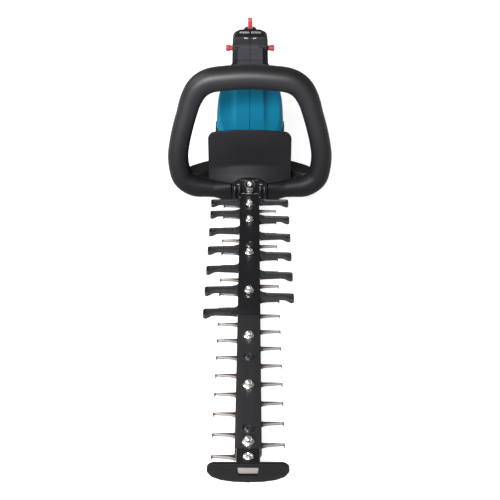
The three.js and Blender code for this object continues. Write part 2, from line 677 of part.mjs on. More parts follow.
function loopTube(inset, sides) {
  const half = LOOP_POINTS.slice(0, -1);
  const mirrored = half.map((p) => ({ ...p, x: -p.x }));
  const stations = [...mirrored, LOOP_POINTS.at(-1), ...half.slice().reverse()];
  const curve = new THREE.CatmullRomCurve3(stations.map((p) => loopPoint(p.x, p.z)));
  const used = inset > 0 ? stations.slice(1, -1) : stations;
  const first = inset > 0 ? 1 : 0;
  const rings = used.map((p, i) => {
    const centre = loopPoint(p.x, p.z);
    const tangent = curve.getTangent((i + first) / (stations.length - 1));
    const inPlane = new THREE.Vector3().crossVectors(tangent, LOOP_NORMAL).normalize();
    return Array.from({ length: sides }, (_, k) => {
      const angle = (2 * Math.PI * (k + 0.5)) / sides;
      return centre
        .clone()
        .addScaledVector(inPlane, (p.wide / 2 - inset) * Math.cos(angle))
        .addScaledVector(LOOP_NORMAL, (p.deep / 2 - inset) * Math.sin(angle));
    });
  });
  const acrossLoopEnd = (p) => new THREE.Vector2(p.y, p.z);
  return loft(rings, acrossLoopEnd);
}

function buildFrontHandle() {
  const tube = loopTube(0, 16).subtract(loopTube(3.2, 10));
  const middle = loopPoint(0, 0);
  const offset = middle.dot(LOOP_NORMAL);
  const n = LOOP_NORMAL.toArray();
  const back = LOOP_NORMAL.clone().negate().toArray();
  let front = tube.trimByPlane(n, offset + 0.15);
  let rear = tube.trimByPlane(back, -offset + 0.15);
  for (const side of [-1, 1]) {
    const across = (a, b) => [side * a, side * b].sort((p, q) => p - q);
    front = front.add(box(across(27, 40), [-45, -36.5], [7, 36.6]));
    const web = [
      [78, -28],
      [84, -22],
      [88, -10],
      [80, -2],
      [68, 6],
      [54, 14],
      [48.5, 14],
      [48.5, -8],
      [58, -20],
      [66, -24],
    ].map(([x, y]) => [side * x, y]);
    if (side < 0) web.reverse();
    rear = rear.add(prismZ(web, [27, 45]));
  }
  const leverSlot = box([-43.5, 43.5], [-12, 20], [160, 190]);
  rear = rear.subtract(leverSlot);
  add("handle_front_shell", front, softBlack);
  add("handle_rear_shell", rear, softBlack);
}

// The lever let into the back of the loop's top bar, hinged along its upper edge and squeezed forwards.
const LEVER_PROFILE = [
  [-5, 189.4],
  [2, 189.4],
  [6, 187],
  [9, 181],
  [8.5, 174],
  [4, 168],
  [-2, 165.5],
  [-5, 166.5],
];
function buildFrontLever() {
  add("front_lever", prismX(LEVER_PROFILE, 42.8), black);
}

function guardRing(x) {
  const share = Math.abs(x) / GUARD_HALF_WIDTH;
  const topCorner = Math.max(0, share - 0.84) / 0.16;
  const top = 114 - 6 * share * share - 10 * (1 - Math.sqrt(1 - topCorner * topCorner * 0.98));
  const bow = -35 + 4 * share * share;
  const fold = 62 - 10 * share * share;
  const bottom = 37 + 1.5 * share * share;
  const reach = bow - 11 + 8 * share * share;
  const thick = 3;
  const profile = [
    [bow + 1, top],
    [bow - 0.5, (top + fold) / 2],
    [bow, fold],
    [(bow + reach) / 2 - 0.6, (fold + bottom) / 2 + 1],
    [reach, bottom],
    [reach + 2.2, bottom],
    [(bow + reach) / 2 + thick, (fold + bottom) / 2],
    [bow + thick, fold - 1],
    [bow + thick - 0.5, (top + fold) / 2],
    [bow + 1 + thick, top],
  ];
  return profile.map(([y, z]) => new THREE.Vector3(x, y, z));
}

function buildHandGuard() {
  const stations = [-1, -0.985, -0.95, -0.88, -0.7, -0.45, -0.2, 0, 0.2, 0.45, 0.7, 0.88, 0.95, 0.985, 1];
  const rings = stations.map((s) => guardRing(s * GUARD_HALF_WIDTH));
  let guard = loft(rings, (p) => new THREE.Vector2(p.y, p.z));
  for (const side of [-1, 1]) {
    const across = [side * 26, side * 34].sort((a, b) => a - b);
    guard = guard.add(box(across, [-32.5, -14.3], [66, 78]));
  }
  const g = GEAR_CASE;
  const nose = box([-g.noseHalf - 0.5, g.noseHalf + 0.5], [-70, -20], [20, g.noseTop + 0.5]);
  add("hand_guard", guard.subtract(nose), black);
}

// ---------------------------------------------------------------- rear handle
const REAR_FRONT_Y = 130.3;
const REAR_OUTLINE = [
  [145, 54],
  [150, 50.5],
  [334, 50.5],
  [341, 55],
  [344, 66],
  [343, 95],
  [338, 111],
  [328, 120.5],
  [306, 130.5],
  [260, 147],
  [222, 161],
  [212, 166],
  [200, 171],
  [183, 170],
  [177.5, 166.5],
  [174, 152.5],
  [150, 138],
  [145, 136],
];
const REAR_OPENING = [
  [180, 84],
  [177, 92],
  [178, 114],
  [183, 124],
  [192, 129],
  [206, 130],
  [222, 126.5],
  [260, 113.5],
  [296, 100.5],
  [306, 94],
  [309, 86],
  [304, 79],
  [188, 77],
];
const HUMP_OUTLINE = [
  [145, 100],
  [145, 136],
  [150, 138],
  [174, 152.5],
  [177.5, 166.5],
  [183, 170],
  [198, 171],
  [206, 160],
  [204, 140],
  [190, 134],
  [178, 124],
  [172, 100],
];
const ARM_OUTLINE = [
  [145, 54],
  [150, 50.5],
  [334, 50.5],
  [340, 55],
  [341, 66],
  [336, 73],
  [186, 75],
  [172, 86],
  [160, 112],
  [145, 120],
];
const COLLAR_SECTIONS = [
  { y: REAR_FRONT_Y, half: 35, bottom: 38, top: 136.5, radius: 16 },
  { y: 143, half: 31, bottom: 48, top: 140, radius: 14 },
  { y: 151, half: 29.5, bottom: 52, top: 141, radius: 12 },
  { y: 158, half: 27, bottom: 54, top: 138, radius: 10 },
];
const GRIP_HALF = 19;
const HUMP_HALF = 26.7;
const ARM_HALF = 29;
const LOCK_BUTTON = { y: 182, z: 148, radius: 4.5 };
const TRIGGER_PIVOT = { y: 190, z: 140 };
const LOCK_OFF_PIVOT = { y: 209, z: 159 };
const REAR_SCREWS = [
  [160, 92],
  [327, 88],
  [286, 127],
];

// Hollows for the switch, the lock button and the wiring, as outlines in Y and Z.
const SWITCH_BAY = [
  [176, 135],
  [240, 124],
  [262, 121],
  [300, 109],
  [312, 108],
  [312, 118],
  [262, 138],
  [240, 147],
  [202, 158],
  [176, 157],
];
const HUMP_BAY = [
  [158, 137],
  [158, 139.5],
  [172, 148],
  [179, 157],
  [200, 157],
  [200, 137],
];

function buildRearHandle() {
  const opening = shapeOf(REAR_OPENING);
  const side = shapeOf(REAR_OUTLINE);
  side.holes.push(new THREE.Path(opening.getPoints()));
  let body = prismX(side, GRIP_HALF, 6)
    .add(prismX(HUMP_OUTLINE, HUMP_HALF, 6))
    .add(prismX(ARM_OUTLINE, ARM_HALF, 5))
    .add(loft(COLLAR_SECTIONS.map((s) => section(s)), acrossY));
  const dome = loft(
    [
      section({ y: 200, half: 9, bottom: 156, top: 170, radius: 4 }),
      section({ y: 210, half: 10, bottom: 156, top: 170.3, radius: 5 }),
      section({ y: 228, half: 7, bottom: 150, top: 160, radius: 4 }),
    ],
    acrossY,
  );
  body = body.add(dome).trimByPlane([0, 1, 0], REAR_FRONT_Y);
  const switchBay = prismX(SWITCH_BAY, 14);
  const triggerSlot = box([-8.4, 8.4], [184, 243], [100, 150]);
  const humpBay = prismX(HUMP_BAY, 22);
  const columnBay = box([-13, 13], [316, 337], [70, 110]);
  const collarBay = box([-24, 24], [134, 152], [64, 122]);
  const lockOffSlot = box([-3.7, 3.7], [203, 230], [150, 190]);
  const lockOffPin = cylinderX(2.4, [-7.5, 7.5], LOCK_OFF_PIVOT.y, LOCK_OFF_PIVOT.z, 12);
  const armBay = box([-23, 23], [150, 330], [60, 69]);
  const railNeck = box([-20, 20], [175, 360], [40, 53.5]);
  const railHead = box([-25, 25], [175, 360], [53, 57.3]);
  const buttonHole = cylinderX(LOCK_BUTTON.radius + 0.4, [-60, 60], LOCK_BUTTON.y, LOCK_BUTTON.z, 16);
  const cuts = [switchBay, triggerSlot, humpBay, collarBay, columnBay, lockOffSlot, lockOffPin];
  cuts.push(armBay, railNeck, railHead, buttonHole);
  for (const cut of cuts) body = body.subtract(cut);
  for (const [y, z] of REAR_SCREWS) {
    body = body.subtract(cylinderX(2.1, [-12, 60], y, z, 12));
    body = body.subtract(cylinderX(4, [14, 60], y, z, 14));
  }
  add("rear_handle_left", body.trimByPlane([-1, 0, 0], 0.15), black);
  add("rear_handle_right", body.trimByPlane([1, 0, 0], 0.15), black);
  REAR_SCREWS.forEach(([y, z], i) => {
    const screw = cylinderX(3.6, [14.3, 16.5], y, z, 12).add(cylinderX(1.8, [-9, 15], y, z, 10));
    add(`rear_handle_screw_${i + 1}`, screw, darkSteel);
  });
}

function buildRearControls() {
  const trigger = [
    [188, 141],
    [194, 145],
    [232, 135],
    [238, 128],
    [236, 119],
    [228, 113],
    [212, 112],
    [200, 116],
    [192, 124],
    [187, 133],
  ];
  const pivot = cylinderX(2.2, [-11, 11], TRIGGER_PIVOT.y, TRIGGER_PIVOT.z, 12);
  add("trigger", prismX(trigger, 7.6, 2).add(pivot), black);

  const fin = [
    [206, 158],
    [205, 170],
    [205.5, 181.5],
    [208, 186],
    [214, 184.5],
    [221, 174],
    [223, 168],
    [222, 158],
    [214, 155.5],
  ];
  const lever = prismX(fin, 3.1, 1).add(
    cylinderX(2, [-7, 7], LOCK_OFF_PIVOT.y, LOCK_OFF_PIVOT.z, 12),
  );
  add("lock_off_lever", lever, red);

  const { y, z, radius } = LOCK_BUTTON;
  const button = cylinderX(radius, [-37, 37], y, z, 16).add(cylinderX(6.4, [-12, 12], y, z, 16));
  add("lock_button", button, red);

  add("trigger_switch", box([-9, 9], [247, 261], [124.5, 136]), board);
  const block = box([-18, 18], [176, 186], [47.6, 56.9]);
  add("terminal_block", block.subtract(box([-15, 15], [180, 190], [50, 55.5])), black);
}

function buildBattery() {
  const outline = [
    [BATTERY_FRONT_Y + 3, 0],
    [BATTERY_REAR_Y - 3, 0],
    [BATTERY_REAR_Y, 4],
    [BATTERY_REAR_Y, BATTERY_HEIGHT - 8],
    [BATTERY_REAR_Y - 6, BATTERY_HEIGHT],
    [BATTERY_FRONT_Y + 3, BATTERY_HEIGHT],
    [BATTERY_FRONT_Y, BATTERY_HEIGHT - 4],
    [BATTERY_FRONT_Y, 4],
  ];
  const tray = prismX(outline, BATTERY_HALF_WIDTH, 2.5);
  const latchBay = box([-13, 13], [284, 300], [26, 50]);
  add("battery_case", tray.subtract(latchBay), black);
  const rails = box([-19.5, 19.5], [187, 283.5], [BATTERY_HEIGHT + GAP, 55])
    .add(box([-24.6, 24.6], [190, 283.5], [53.4, 57]));
  add("battery_rails", rails, black);
  add("battery_latch", box([-12, 12], [284.5, 296.5], [31, 52]), red);
}

buildBlades();
buildComb();
buildBladeFasteners();
buildTipGuard();
buildGearCase();
buildDrive();
buildHousing();
buildFrontHandle();
buildFrontLever();
buildHandGuard();
buildRearHandle();
buildRearControls();
buildBattery();

export default hedgeTrimmer;
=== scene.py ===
import math

import bmesh
import bpy
from mathutils import Euler, Matrix, Vector


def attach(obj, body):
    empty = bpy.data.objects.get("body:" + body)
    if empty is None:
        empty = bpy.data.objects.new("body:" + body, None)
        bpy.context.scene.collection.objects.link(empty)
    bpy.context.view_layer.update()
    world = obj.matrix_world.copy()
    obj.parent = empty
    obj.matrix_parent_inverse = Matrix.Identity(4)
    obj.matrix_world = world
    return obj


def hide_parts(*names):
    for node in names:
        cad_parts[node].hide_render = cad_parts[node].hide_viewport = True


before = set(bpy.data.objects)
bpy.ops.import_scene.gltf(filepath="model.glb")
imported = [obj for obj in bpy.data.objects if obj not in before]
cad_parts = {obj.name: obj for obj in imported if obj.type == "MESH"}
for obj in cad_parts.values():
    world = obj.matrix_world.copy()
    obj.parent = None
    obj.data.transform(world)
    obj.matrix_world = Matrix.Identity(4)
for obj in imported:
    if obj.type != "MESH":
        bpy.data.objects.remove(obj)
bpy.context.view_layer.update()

MM = 0.001
scene = bpy.context.scene


# ---------------------------------------------------------------- outlines
def eased(outline, radius, steps=4):
    """A closed outline with its corners rounded."""
    made = []
    count = len(outline)
    for i in range(count):
        before, here, after = (Vector(outline[(i + k) % count]) for k in (-1, 0, 1))
        back, ahead = before - here, after - here
        if back.length < 1e-6 or ahead.length < 1e-6:
            continue
        half = back.angle(ahead, math.pi) / 2
        reach = min(radius / max(math.tan(half), 0.05), 0.48 * back.length, 0.48 * ahead.length)
        start = here + back.normalized() * reach
        end = here + ahead.normalized() * reach
        for k in range(steps + 1):
            t = k / steps
            made.append(tuple((1 - t) ** 2 * start + 2 * t * (1 - t) * here + t * t * end))
    return made


def swollen(outline, by):
    """An outline pushed outwards."""
    count = len(outline)
    pairs = [(Vector(outline[i]), Vector(outline[(i + 1) % count])) for i in range(count)]
    area = sum(a.x * b.y - b.x * a.y for a, b in pairs)
    turn = 1 if area > 0 else -1
    made = []
    for i in range(count):
        ahead = Vector(outline[(i + 1) % count]) - Vector(outline[i - 1])
        out = Vector((ahead.y, -ahead.x)).normalized() * turn
        made.append(tuple(Vector(outline[i]) + out * by))
    return made


def through(points, each):
    """A smooth row through the points, with so many steps to each span."""
    made = []
    for i in range(len(points) - 1):
        p = [Vector(points[max(0, min(len(points) - 1, i + k))]) for k in (-1, 0, 1, 2)]
        for k in range(each):
            t = k / each
            made.append(
                tuple(
                    0.5
                    * (
                        2 * p[1]
                        + (p[2] - p[0]) * t
                        + (2 * p[0] - 5 * p[1] + 4 * p[2] - p[3]) * t * t
                        + (3 * p[1] - p[0] - 3 * p[2] + p[3]) * t**3
                    )
                )
            )
    made.append(tuple(points[-1]))
    return made


# ---------------------------------------------------------------- solids, in millimetres
def solid(points, faces):
    mesh = bpy.data.meshes.new("blank")
    mesh.from_pydata([Vector(p) * MM for p in points], [], faces)
    made = bpy.data.objects.new("blank", mesh)
    scene.collection.objects.link(made)
    work = bmesh.new()
    work.from_mesh(mesh)
    bmesh.ops.recalc_face_normals(work, faces=work.faces)
    work.to_mesh(mesh)
    work.free()
    return made


def loft(rings):
    count = len(rings[0])
    points = [p for ring in rings for p in ring]
    faces = [
        (i * count + j, i * count + (j + 1) % count, (i + 1) * count + (j + 1) % count, (i + 1) * count + j)
        for i in range(len(rings) - 1)
        for j in range(count)
    ]
    faces.append(tuple(reversed(range(count))))
    faces.append(tuple(range((len(rings) - 1) * count, len(rings) * count)))
    return solid(points, faces)


def placed(axis, a, b, along):
    return {"X": (along, a, b), "Y": (a, along, b), "Z": (a, b, along)}[axis]


def prism(outline, span, axis="Z"):
    return loft([[placed(axis, a, b, along) for a, b in outline] for along in span])


def block(xs, ys, zs):
    return prism([(xs[0], ys[0]), (xs[1], ys[0]), (xs[1], ys[1]), (xs[0], ys[1])], zs)


def lathe(profile, centre, axis="Z", steps=32, turn=0.5):
    """A turned solid: (radius, distance along the axis) pairs from one end to the other."""
    rings = []
    for radius, along in profile:
        ring = []
        for k in range(steps):
            angle = math.tau * (k + turn) / steps
            p = placed(axis, radius * math.cos(angle), radius * math.sin(angle), along)
            ring.append(tuple(Vector(p) + Vector(centre)))
        rings.append(ring)
    return loft(rings)


def tube(outer, inner, span, centre, axis="Z", steps=32):
    made = lathe([(outer, span[0]), (outer, span[1])], centre, axis, steps)
    return cut(made, lathe([(inner, span[0] - 1), (inner, span[1] + 1)], centre, axis, steps))


def copied(source):
    made = source.copy()
    made.data = source.data.copy()
    scene.collection.objects.link(made)
    return made


def dropped(*objects):
    for gone in objects:
        mesh = gone.data
        bpy.data.objects.remove(gone)
        bpy.data.meshes.remove(mesh)


def baked(target):
    graph = bpy.context.evaluated_depsgraph_get()
    mesh = bpy.data.meshes.new_from_object(target.evaluated_get(graph))
    old = target.data
    target.modifiers.clear()
    target.data = mesh
    bpy.data.meshes.remove(old)
    return target


def combined(target, tools, operation):
    for tool in tools:
        step = target.modifiers.new("combine", "BOOLEAN")
        step.operation = operation
        step.object = tool
        step.solver = "MANIFOLD"
    baked(target)
    dropped(*tools)
    return target


def cut(target, *tools):
    return combined(target, tools, "DIFFERENCE")


def fused(target, *tools):
    return combined(target, tools, "UNION")


def kept(target, tool):
    return combined(target, (tool,), "INTERSECT")


def merged(*objects):
    """Several solids as one mesh, left as they are."""
    work = bmesh.new()
    for part in objects:
        work.from_mesh(part.data)
    mesh = bpy.data.meshes.new("blank")
    work.to_mesh(mesh)
    work.free()
    made = bpy.data.objects.new("blank", mesh)
    scene.collection.objects.link(made)
    dropped(*objects)
    return made


def softened(target, voxel, passes):
    """Remade as an even skin with its edges and inside corners eased, as a moulding's are."""
    skin = target.modifiers.new("skin", "REMESH")
    skin.mode = "VOXEL"
    skin.voxel_size = voxel * MM
    ease = target.modifiers.new("ease", "SMOOTH")
    ease.factor = 0.5
    ease.iterations = passes
    return baked(target)


def bevelled(target, width, segments=2, angle=35):
    edge = target.modifiers.new("edge", "BEVEL")
    edge.width = width * MM
    edge.segments = segments
    edge.limit_method = "ANGLE"
    edge.angle_limit = math.radians(angle)
    edge.use_clamp_overlap = True
    return baked(target)


# ---------------------------------------------------------------- finishes
MOTTLING = 45  # patches of colour to the metre
UNEVEN_GLOSS = 0.06  # how far the roughness wanders either way


def finish(name, colour, rough, metallic=0, specular=0.5, grain=0.6, depth=0.02, spread=0.1, run=(1, 1, 1)):
    """A procedural finish: fine relief, uneven gloss and a slight mottling of the colour.
    grain and depth are in millimetres; run is below 1 along the direction that the marks are drawn out in."""
    made = bpy.data.materials.new(name)
    made.use_nodes = True
    nodes, links = made.node_tree.nodes, made.node_tree.links
    shader = nodes["Principled BSDF"]
    shader.inputs["Metallic"].default_value = metallic
    shader.inputs["Specular IOR Level"].default_value = specular
    place = nodes.new("ShaderNodeTexCoord")
    stretch = nodes.new("ShaderNodeMapping")
    stretch.inputs["Scale"].default_value = run
    links.new(place.outputs["Object"], stretch.inputs["Vector"])
    fine = nodes.new("ShaderNodeTexNoise")
    fine.inputs["Scale"].default_value = 1 / (grain * MM)
    fine.inputs["Detail"].default_value = 3
    links.new(stretch.outputs["Vector"], fine.inputs["Vector"])
    broad = nodes.new("ShaderNodeTexNoise")
    broad.inputs["Scale"].default_value = MOTTLING
    broad.inputs["Detail"].default_value = 4
    links.new(stretch.outputs["Vector"], broad.inputs["Vector"])
    tint = nodes.new("ShaderNodeValToRGB")
    low, high = tint.color_ramp.elements
    low.position, high.position = 0.3, 0.7
    low.color = (*[c * (1 - spread) for c in colour], 1)
    high.color = (*[c * (1 + spread) for c in colour], 1)
    links.new(broad.outputs["Fac"], tint.inputs["Fac"])
    links.new(tint.outputs["Color"], shader.inputs["Base Color"])
    gloss = nodes.new("ShaderNodeMapRange")
    gloss.inputs["To Min"].default_value = rough - UNEVEN_GLOSS
    gloss.inputs["To Max"].default_value = rough + UNEVEN_GLOSS
    links.new(fine.outputs["Fac"], gloss.inputs["Value"])
    links.new(gloss.outputs["Result"], shader.inputs["Roughness"])
    relief = nodes.new("ShaderNodeBump")
    relief.inputs["Strength"].default_value = 0.6
    relief.inputs["Distance"].default_value = depth * MM
    links.new(fine.outputs["Fac"], relief.inputs["Height"])
    links.new(relief.outputs["Normal"], shader.inputs["Normal"])
    return made


TEAL = finish("teal_plastic", (0.0027, 0.114, 0.196), 0.42, 0, 0.08, grain=0.5, depth=0.012, spread=0.04)
BLACK = finish("black_plastic", (0.0075, 0.0072, 0.009), 0.48, specular=0.085, grain=0.5, depth=0.03)
SOFT = finish("soft_grip", (0.0073, 0.007, 0.0088), 0.48, specular=0.3, grain=0.35, depth=0.03)
RED = finish("red_plastic", (0.38, 0.047, 0.05), 0.42, specular=0.1, depth=0.01, spread=0.05)
STEEL = finish("ground_steel", (0.12, 0.1, 0.09), 0.4, 1, 0.5, 0.5, 0.012, spread=0.18, run=(0.05, 1, 1))
EDGE = finish("ground_edge", (0.07, 0.06, 0.054), 0.66, metallic=0.4, grain=0.3, depth=0.01, run=(0.08, 1, 1))
ZINC = finish("plated_steel", (0.72, 0.71, 0.69), 0.22, metallic=1, grain=0.5, depth=0.006, spread=0.06)
SATIN = finish("satin_zinc", (0.5, 0.5, 0.49), 0.3, metallic=1, grain=0.5, depth=0.008)
GLOSS = finish("gloss_black", (0.016, 0.0155, 0.018), 0.24, specular=0.55, grain=0.7, depth=0.01)
# The comb's own plastic, also painted on the blades under its teeth as painted shade.
RIB = finish("comb_plastic_and_painted_shade", (0.017, 0.0165, 0.0188), 0.38, specular=0.24, grain=0.5, depth=0.02)
# Paler black: painted light on the upward faces of the hump's front panel.
LIT_PANEL = finish("panel_painted_light", (0.036, 0.034, 0.042), 0.5, specular=0.14, grain=0.5, depth=0.03)
# Paler and glossier black: painted highlights on the crest's ridges and tabs where they face the lamps.
CREST_HIGHLIGHT = finish("crest_painted_highlight", (0.03, 0.029, 0.033), 0.28, specular=0.6, grain=0.7, depth=0.008)
PLATE = finish("tip_plastic", (0.0085, 0.0082, 0.009), 0.5, specular=0.06, grain=0.5, depth=0.03)
# Pale grey and glossy: painted highlights on the tip guard's window edges, the nose's lip and its two small
# screws.
PAINTED_HIGHLIGHT = finish("painted_highlight", (0.2, 0.2, 0.21), 0.35, specular=0.6, grain=0.5, depth=0.01)
INSERT = finish("satin_steel", (0.27, 0.26, 0.25), 0.45, metallic=1, grain=0.4, depth=0.01)
DARK = finish("blackened_steel", (0.016, 0.0154, 0.0178), 0.4, 0.06, 0.19, grain=0.5, run=(1, 0.04, 1))
ALLOY = finish("painted_alloy", (0.008, 0.008, 0.0095), 0.26, specular=0.16, grain=0.9, depth=0.03)
LAMINATED = finish("laminated_steel", (0.25, 0.24, 0.23), 0.4, metallic=1, grain=0.5, run=(0.02, 0.02, 1))
COPPER = finish("copper", (0.55, 0.23, 0.1), 0.3, metallic=1, grain=0.6, run=(1, 1, 0.05))
BRONZE = finish("bronze", (0.42, 0.29, 0.12), 0.4, metallic=1)
BOARD = finish("circuit_board", (0.01, 0.08, 0.03), 0.5, grain=1.2)

SLOTS = {
    "teal_plastic": TEAL,
    "black_plastic": BLACK,
    "soft_black_grip": SOFT,
    "red_plastic": RED,
    "ground_steel": STEEL,
    "plated_steel": ZINC,
    "blackened_steel": DARK,
    "painted_alloy": ALLOY,
    "laminated_steel": LAMINATED,
    "copper": COPPER,
    "bronze": BRONZE,
    "circuit_board": BOARD,
}


def dulled_low(material, low, high):
    """Less shiny near the floor, growing shinier from low to high, in metres."""
    nodes, links = material.node_tree.nodes, material.node_tree.links
    shader = nodes["Principled BSDF"]
    split = nodes.new("ShaderNodeSeparateXYZ")
    links.new(nodes["Texture Coordinate"].outputs["Object"], split.inputs["Vector"])
    shine = nodes.new("ShaderNodeMapRange")
    shine.inputs["From Min"].default_value = low
    shine.inputs["From Max"].default_value = high
    shine.inputs["To Min"].default_value = 0.06
    shine.inputs["To Max"].default_value = 0.23
    links.new(split.outputs["Z"], shine.inputs["Value"])
    links.new(shine.outputs["Result"], shader.inputs["Specular IOR Level"])


dulled_low(SOFT, 0.03, 0.14)


def paler_out(material, near, far, pale):
    """A colour that grows paler with the distance from the centreline, from near to far in metres."""
    nodes, links = material.node_tree.nodes, material.node_tree.links
    shader = nodes["Principled BSDF"]
    split = nodes.new("ShaderNodeSeparateXYZ")
    links.new(nodes["Texture Coordinate"].outputs["Object"], split.inputs["Vector"])
    away = nodes.new("ShaderNodeMath")
    away.operation = "ABSOLUTE"
    links.new(split.outputs["X"], away.inputs[0])
    share = nodes.new("ShaderNodeMapRange")
    share.inputs["From Min"].default_value = near
    share.inputs["From Max"].default_value = far
    links.new(away.outputs["Value"], share.inputs["Value"])
    mixed = nodes.new("ShaderNodeMix")
    mixed.data_type = "RGBA"
    links.new(share.outputs["Result"], mixed.inputs["Factor"])
    links.new(nodes["Color Ramp"].outputs["Color"], mixed.inputs["A"])
    mixed.inputs["B"].default_value = (*pale, 1)
    links.new(mixed.outputs["Result"], shader.inputs["Base Color"])


# The ground flanks grow paler towards the tips as painted light, darker at the roots beside the dark bar and
# comb.
paler_out(EDGE, 0.016, 0.033, (0.17, 0.155, 0.145))


def repainted(target, choose, *materials):
    """Gives each face the material whose number choose(centre in mm, normal) picks."""
    target.data.materials.clear()
    for material in materials:
        target.data.materials.append(material)
    for face in target.data.polygons:
        face.material_index = choose(face.center / MM, face.normal)


def piece(name, target, body, nodes, slot, material=None, sharp=32, second=None, choose=None):
    """Names a finished solid, gives it its finish and ties it to the frame.
    With second finishes, choose picks one for each face, or else the faces' own numbers do."""
    target.name = name
    target.data.name = name
    if choose:
        repainted(target, choose, material or SLOTS[slot], *second)
    elif second:
        numbers = [face.material_index for face in target.data.polygons]
        repainted(target, lambda c, n: numbers.pop(0), material or SLOTS[slot], *second)
    else:
        target.data.materials.clear()
        target.data.materials.append(material or SLOTS[slot])
        for face in target.data.polygons:
            face.material_index = 0
    target.data.shade_smooth()
    target.data.set_sharp_from_angle(angle=math.radians(sharp))
    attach(target, body)
    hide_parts(*nodes)
    return target


ROOT = "trimmer_body"

# ---------------------------------------------------------------- front handle
LOOP_BASE = Vector((0, -32, 15))
LOOP_LEAN = 0.14
LOOP_NORMAL = Vector((0, -1, LOOP_LEAN)).normalized()
LOOP_SQUARENESS = 0.92
LOOP_WALL = 3.6
# The right half from the foot upwards: across, up, width and depth.
LOOP_HALF = [
    (36, 8, 26, 26),
    (47, 8.5, 26, 27),
    (60, 10, 28, 28),
    (77.5, 12.5, 31, 30),
    (92.5, 22.5, 30, 30),
    (98, 39, 29, 30),
    (99, 58, 28.5, 30),
    (95.8, 78, 28.5, 30),
    (91.2, 97, 28.5, 30),
    (85.8, 115, 28.5, 30),
    (79.6, 134, 30, 31),
    (69.4, 150.6, 32, 33),
    (53.5, 160.3, 33, 35),
    (28, 164, 33, 36),
]
LOOP_TOP = (0, 165.5, 33, 36)
LOOP_PARTING = 0.2  # half the gap between the front and the rear shell


def loop_point(x, z):
    return LOOP_BASE + Vector((x, LOOP_LEAN * z, z))


def loop_tube(inset, sides):
    stations = [(-p[0], *p[1:]) for p in LOOP_HALF] + [LOOP_TOP] + LOOP_HALF[::-1]
    row = through(stations, 6)
    if inset:
        row = row[6:-6]
    centres = [loop_point(p[0], p[1]) for p in row]
    rings = []
    for i, (_, _, wide, deep) in enumerate(row):
        along = centres[min(i + 1, len(row) - 1)] - centres[max(i - 1, 0)]
        across = along.cross(LOOP_NORMAL).normalized()
        ring = []
        for k in range(sides):
            angle = math.tau * (k + 0.5) / sides
            u = squared(math.cos(angle), LOOP_SQUARENESS) * (wide / 2 - inset)
            v = squared(math.sin(angle), LOOP_SQUARENESS) * (deep / 2 - inset)
            ring.append(tuple(centres[i] + across * u + LOOP_NORMAL * v))
        rings.append(ring)
    return loft(rings)


def loop_side(sign):
    """A slab that holds everything in front of (1) or behind (-1) the loop's parting plane."""
    up = Vector((0, LOOP_LEAN, 1)).normalized()
    rings = []
    for away in (LOOP_PARTING, 120):
        middle = LOOP_BASE + LOOP_NORMAL * away * sign
        corners = ((-200, -60), (200, -60), (200, 240), (-200, 240))
        rings.append([tuple(middle + Vector((a, 0, 0)) + up * b) for a, b in corners])
    return loft(rings)


# Where the loop's lower ends run into the gear case: the distance across, the middle's height, the half
# depth, the half height and the power that squares the section.
FOOT_Y = -31
FOOT = [(52, 24, 13.4, 13, 1), (44, 23, 13.8, 14, 0.9), (36, 21.5, 14, 15.5, 0.7)]
FOOT.append((25.6, 20.5, 14, 16.5, 0.55))


def squared(value, power):
    return math.copysign(abs(value) ** power, value)


def foot_ring(side, x, z, deep, high, power):
    ring = []
    for k in range(48):
        a = math.tau * (k + 0.5) / 48
        across, up = deep * squared(math.cos(a), power), high * squared(math.sin(a), power)
        ring.append((side * x, FOOT_Y + across, z + up))
    return ring


def front_handle():
    front = kept(loop_tube(0, 48), loop_side(1))
    rear = kept(loop_tube(0, 48), loop_side(-1))
    web = [(78, -28), (84, -22), (88, -10), (80, -2), (68, 6), (54, 14), (48.5, 14), (48.5, -8), (58, -20)]
    web.append((66, -24))
    for side in (-1, 1):
        foot = kept(loft([foot_ring(side, *p) for p in FOOT]), block((-80, 80), (-60, -36.6), (0, 60)))
        front = fused(front, foot)
        rear = fused(rear, prism(eased([(side * x, y) for x, y in web], 3), (27, 45)))
    front = softened(front, 0.8, 5)
    rear = softened(rear, 0.8, 5)
    front = cut(front, loop_tube(LOOP_WALL, 16))
    lever_slot = block((-43.5, 43.5), (-12, 20), (160, 192))
    rear = cut(rear, loop_tube(LOOP_WALL, 16), lever_slot)
    piece("front_handle_face", front, ROOT, ["handle_front_shell"], "soft_black_grip", sharp=40)
    piece("front_handle_back", rear, ROOT, ["handle_rear_shell"], "soft_black_grip", sharp=40)

    profile = [(-5, 189.4), (2, 189.4), (6, 187), (9, 181), (8.5, 174), (4, 168), (-2, 165.5), (-5, 166.5)]
    lever = bevelled(prism(eased(profile, 2), (-42.8, 42.8), "X"), 0.9, 3)
    grooves = [block((6 * k - 0.7, 6 * k + 0.7), (6.3, 12), (170, 185)) for k in range(-6, 7)]
    lever = cut(lever, *grooves)
    piece("front_lever_bar", lever, "front_lever_body", ["front_lever"], "black_plastic")


# ---------------------------------------------------------------- hand guard
GUARD_HALF = 57
GUARD_THICK = 3


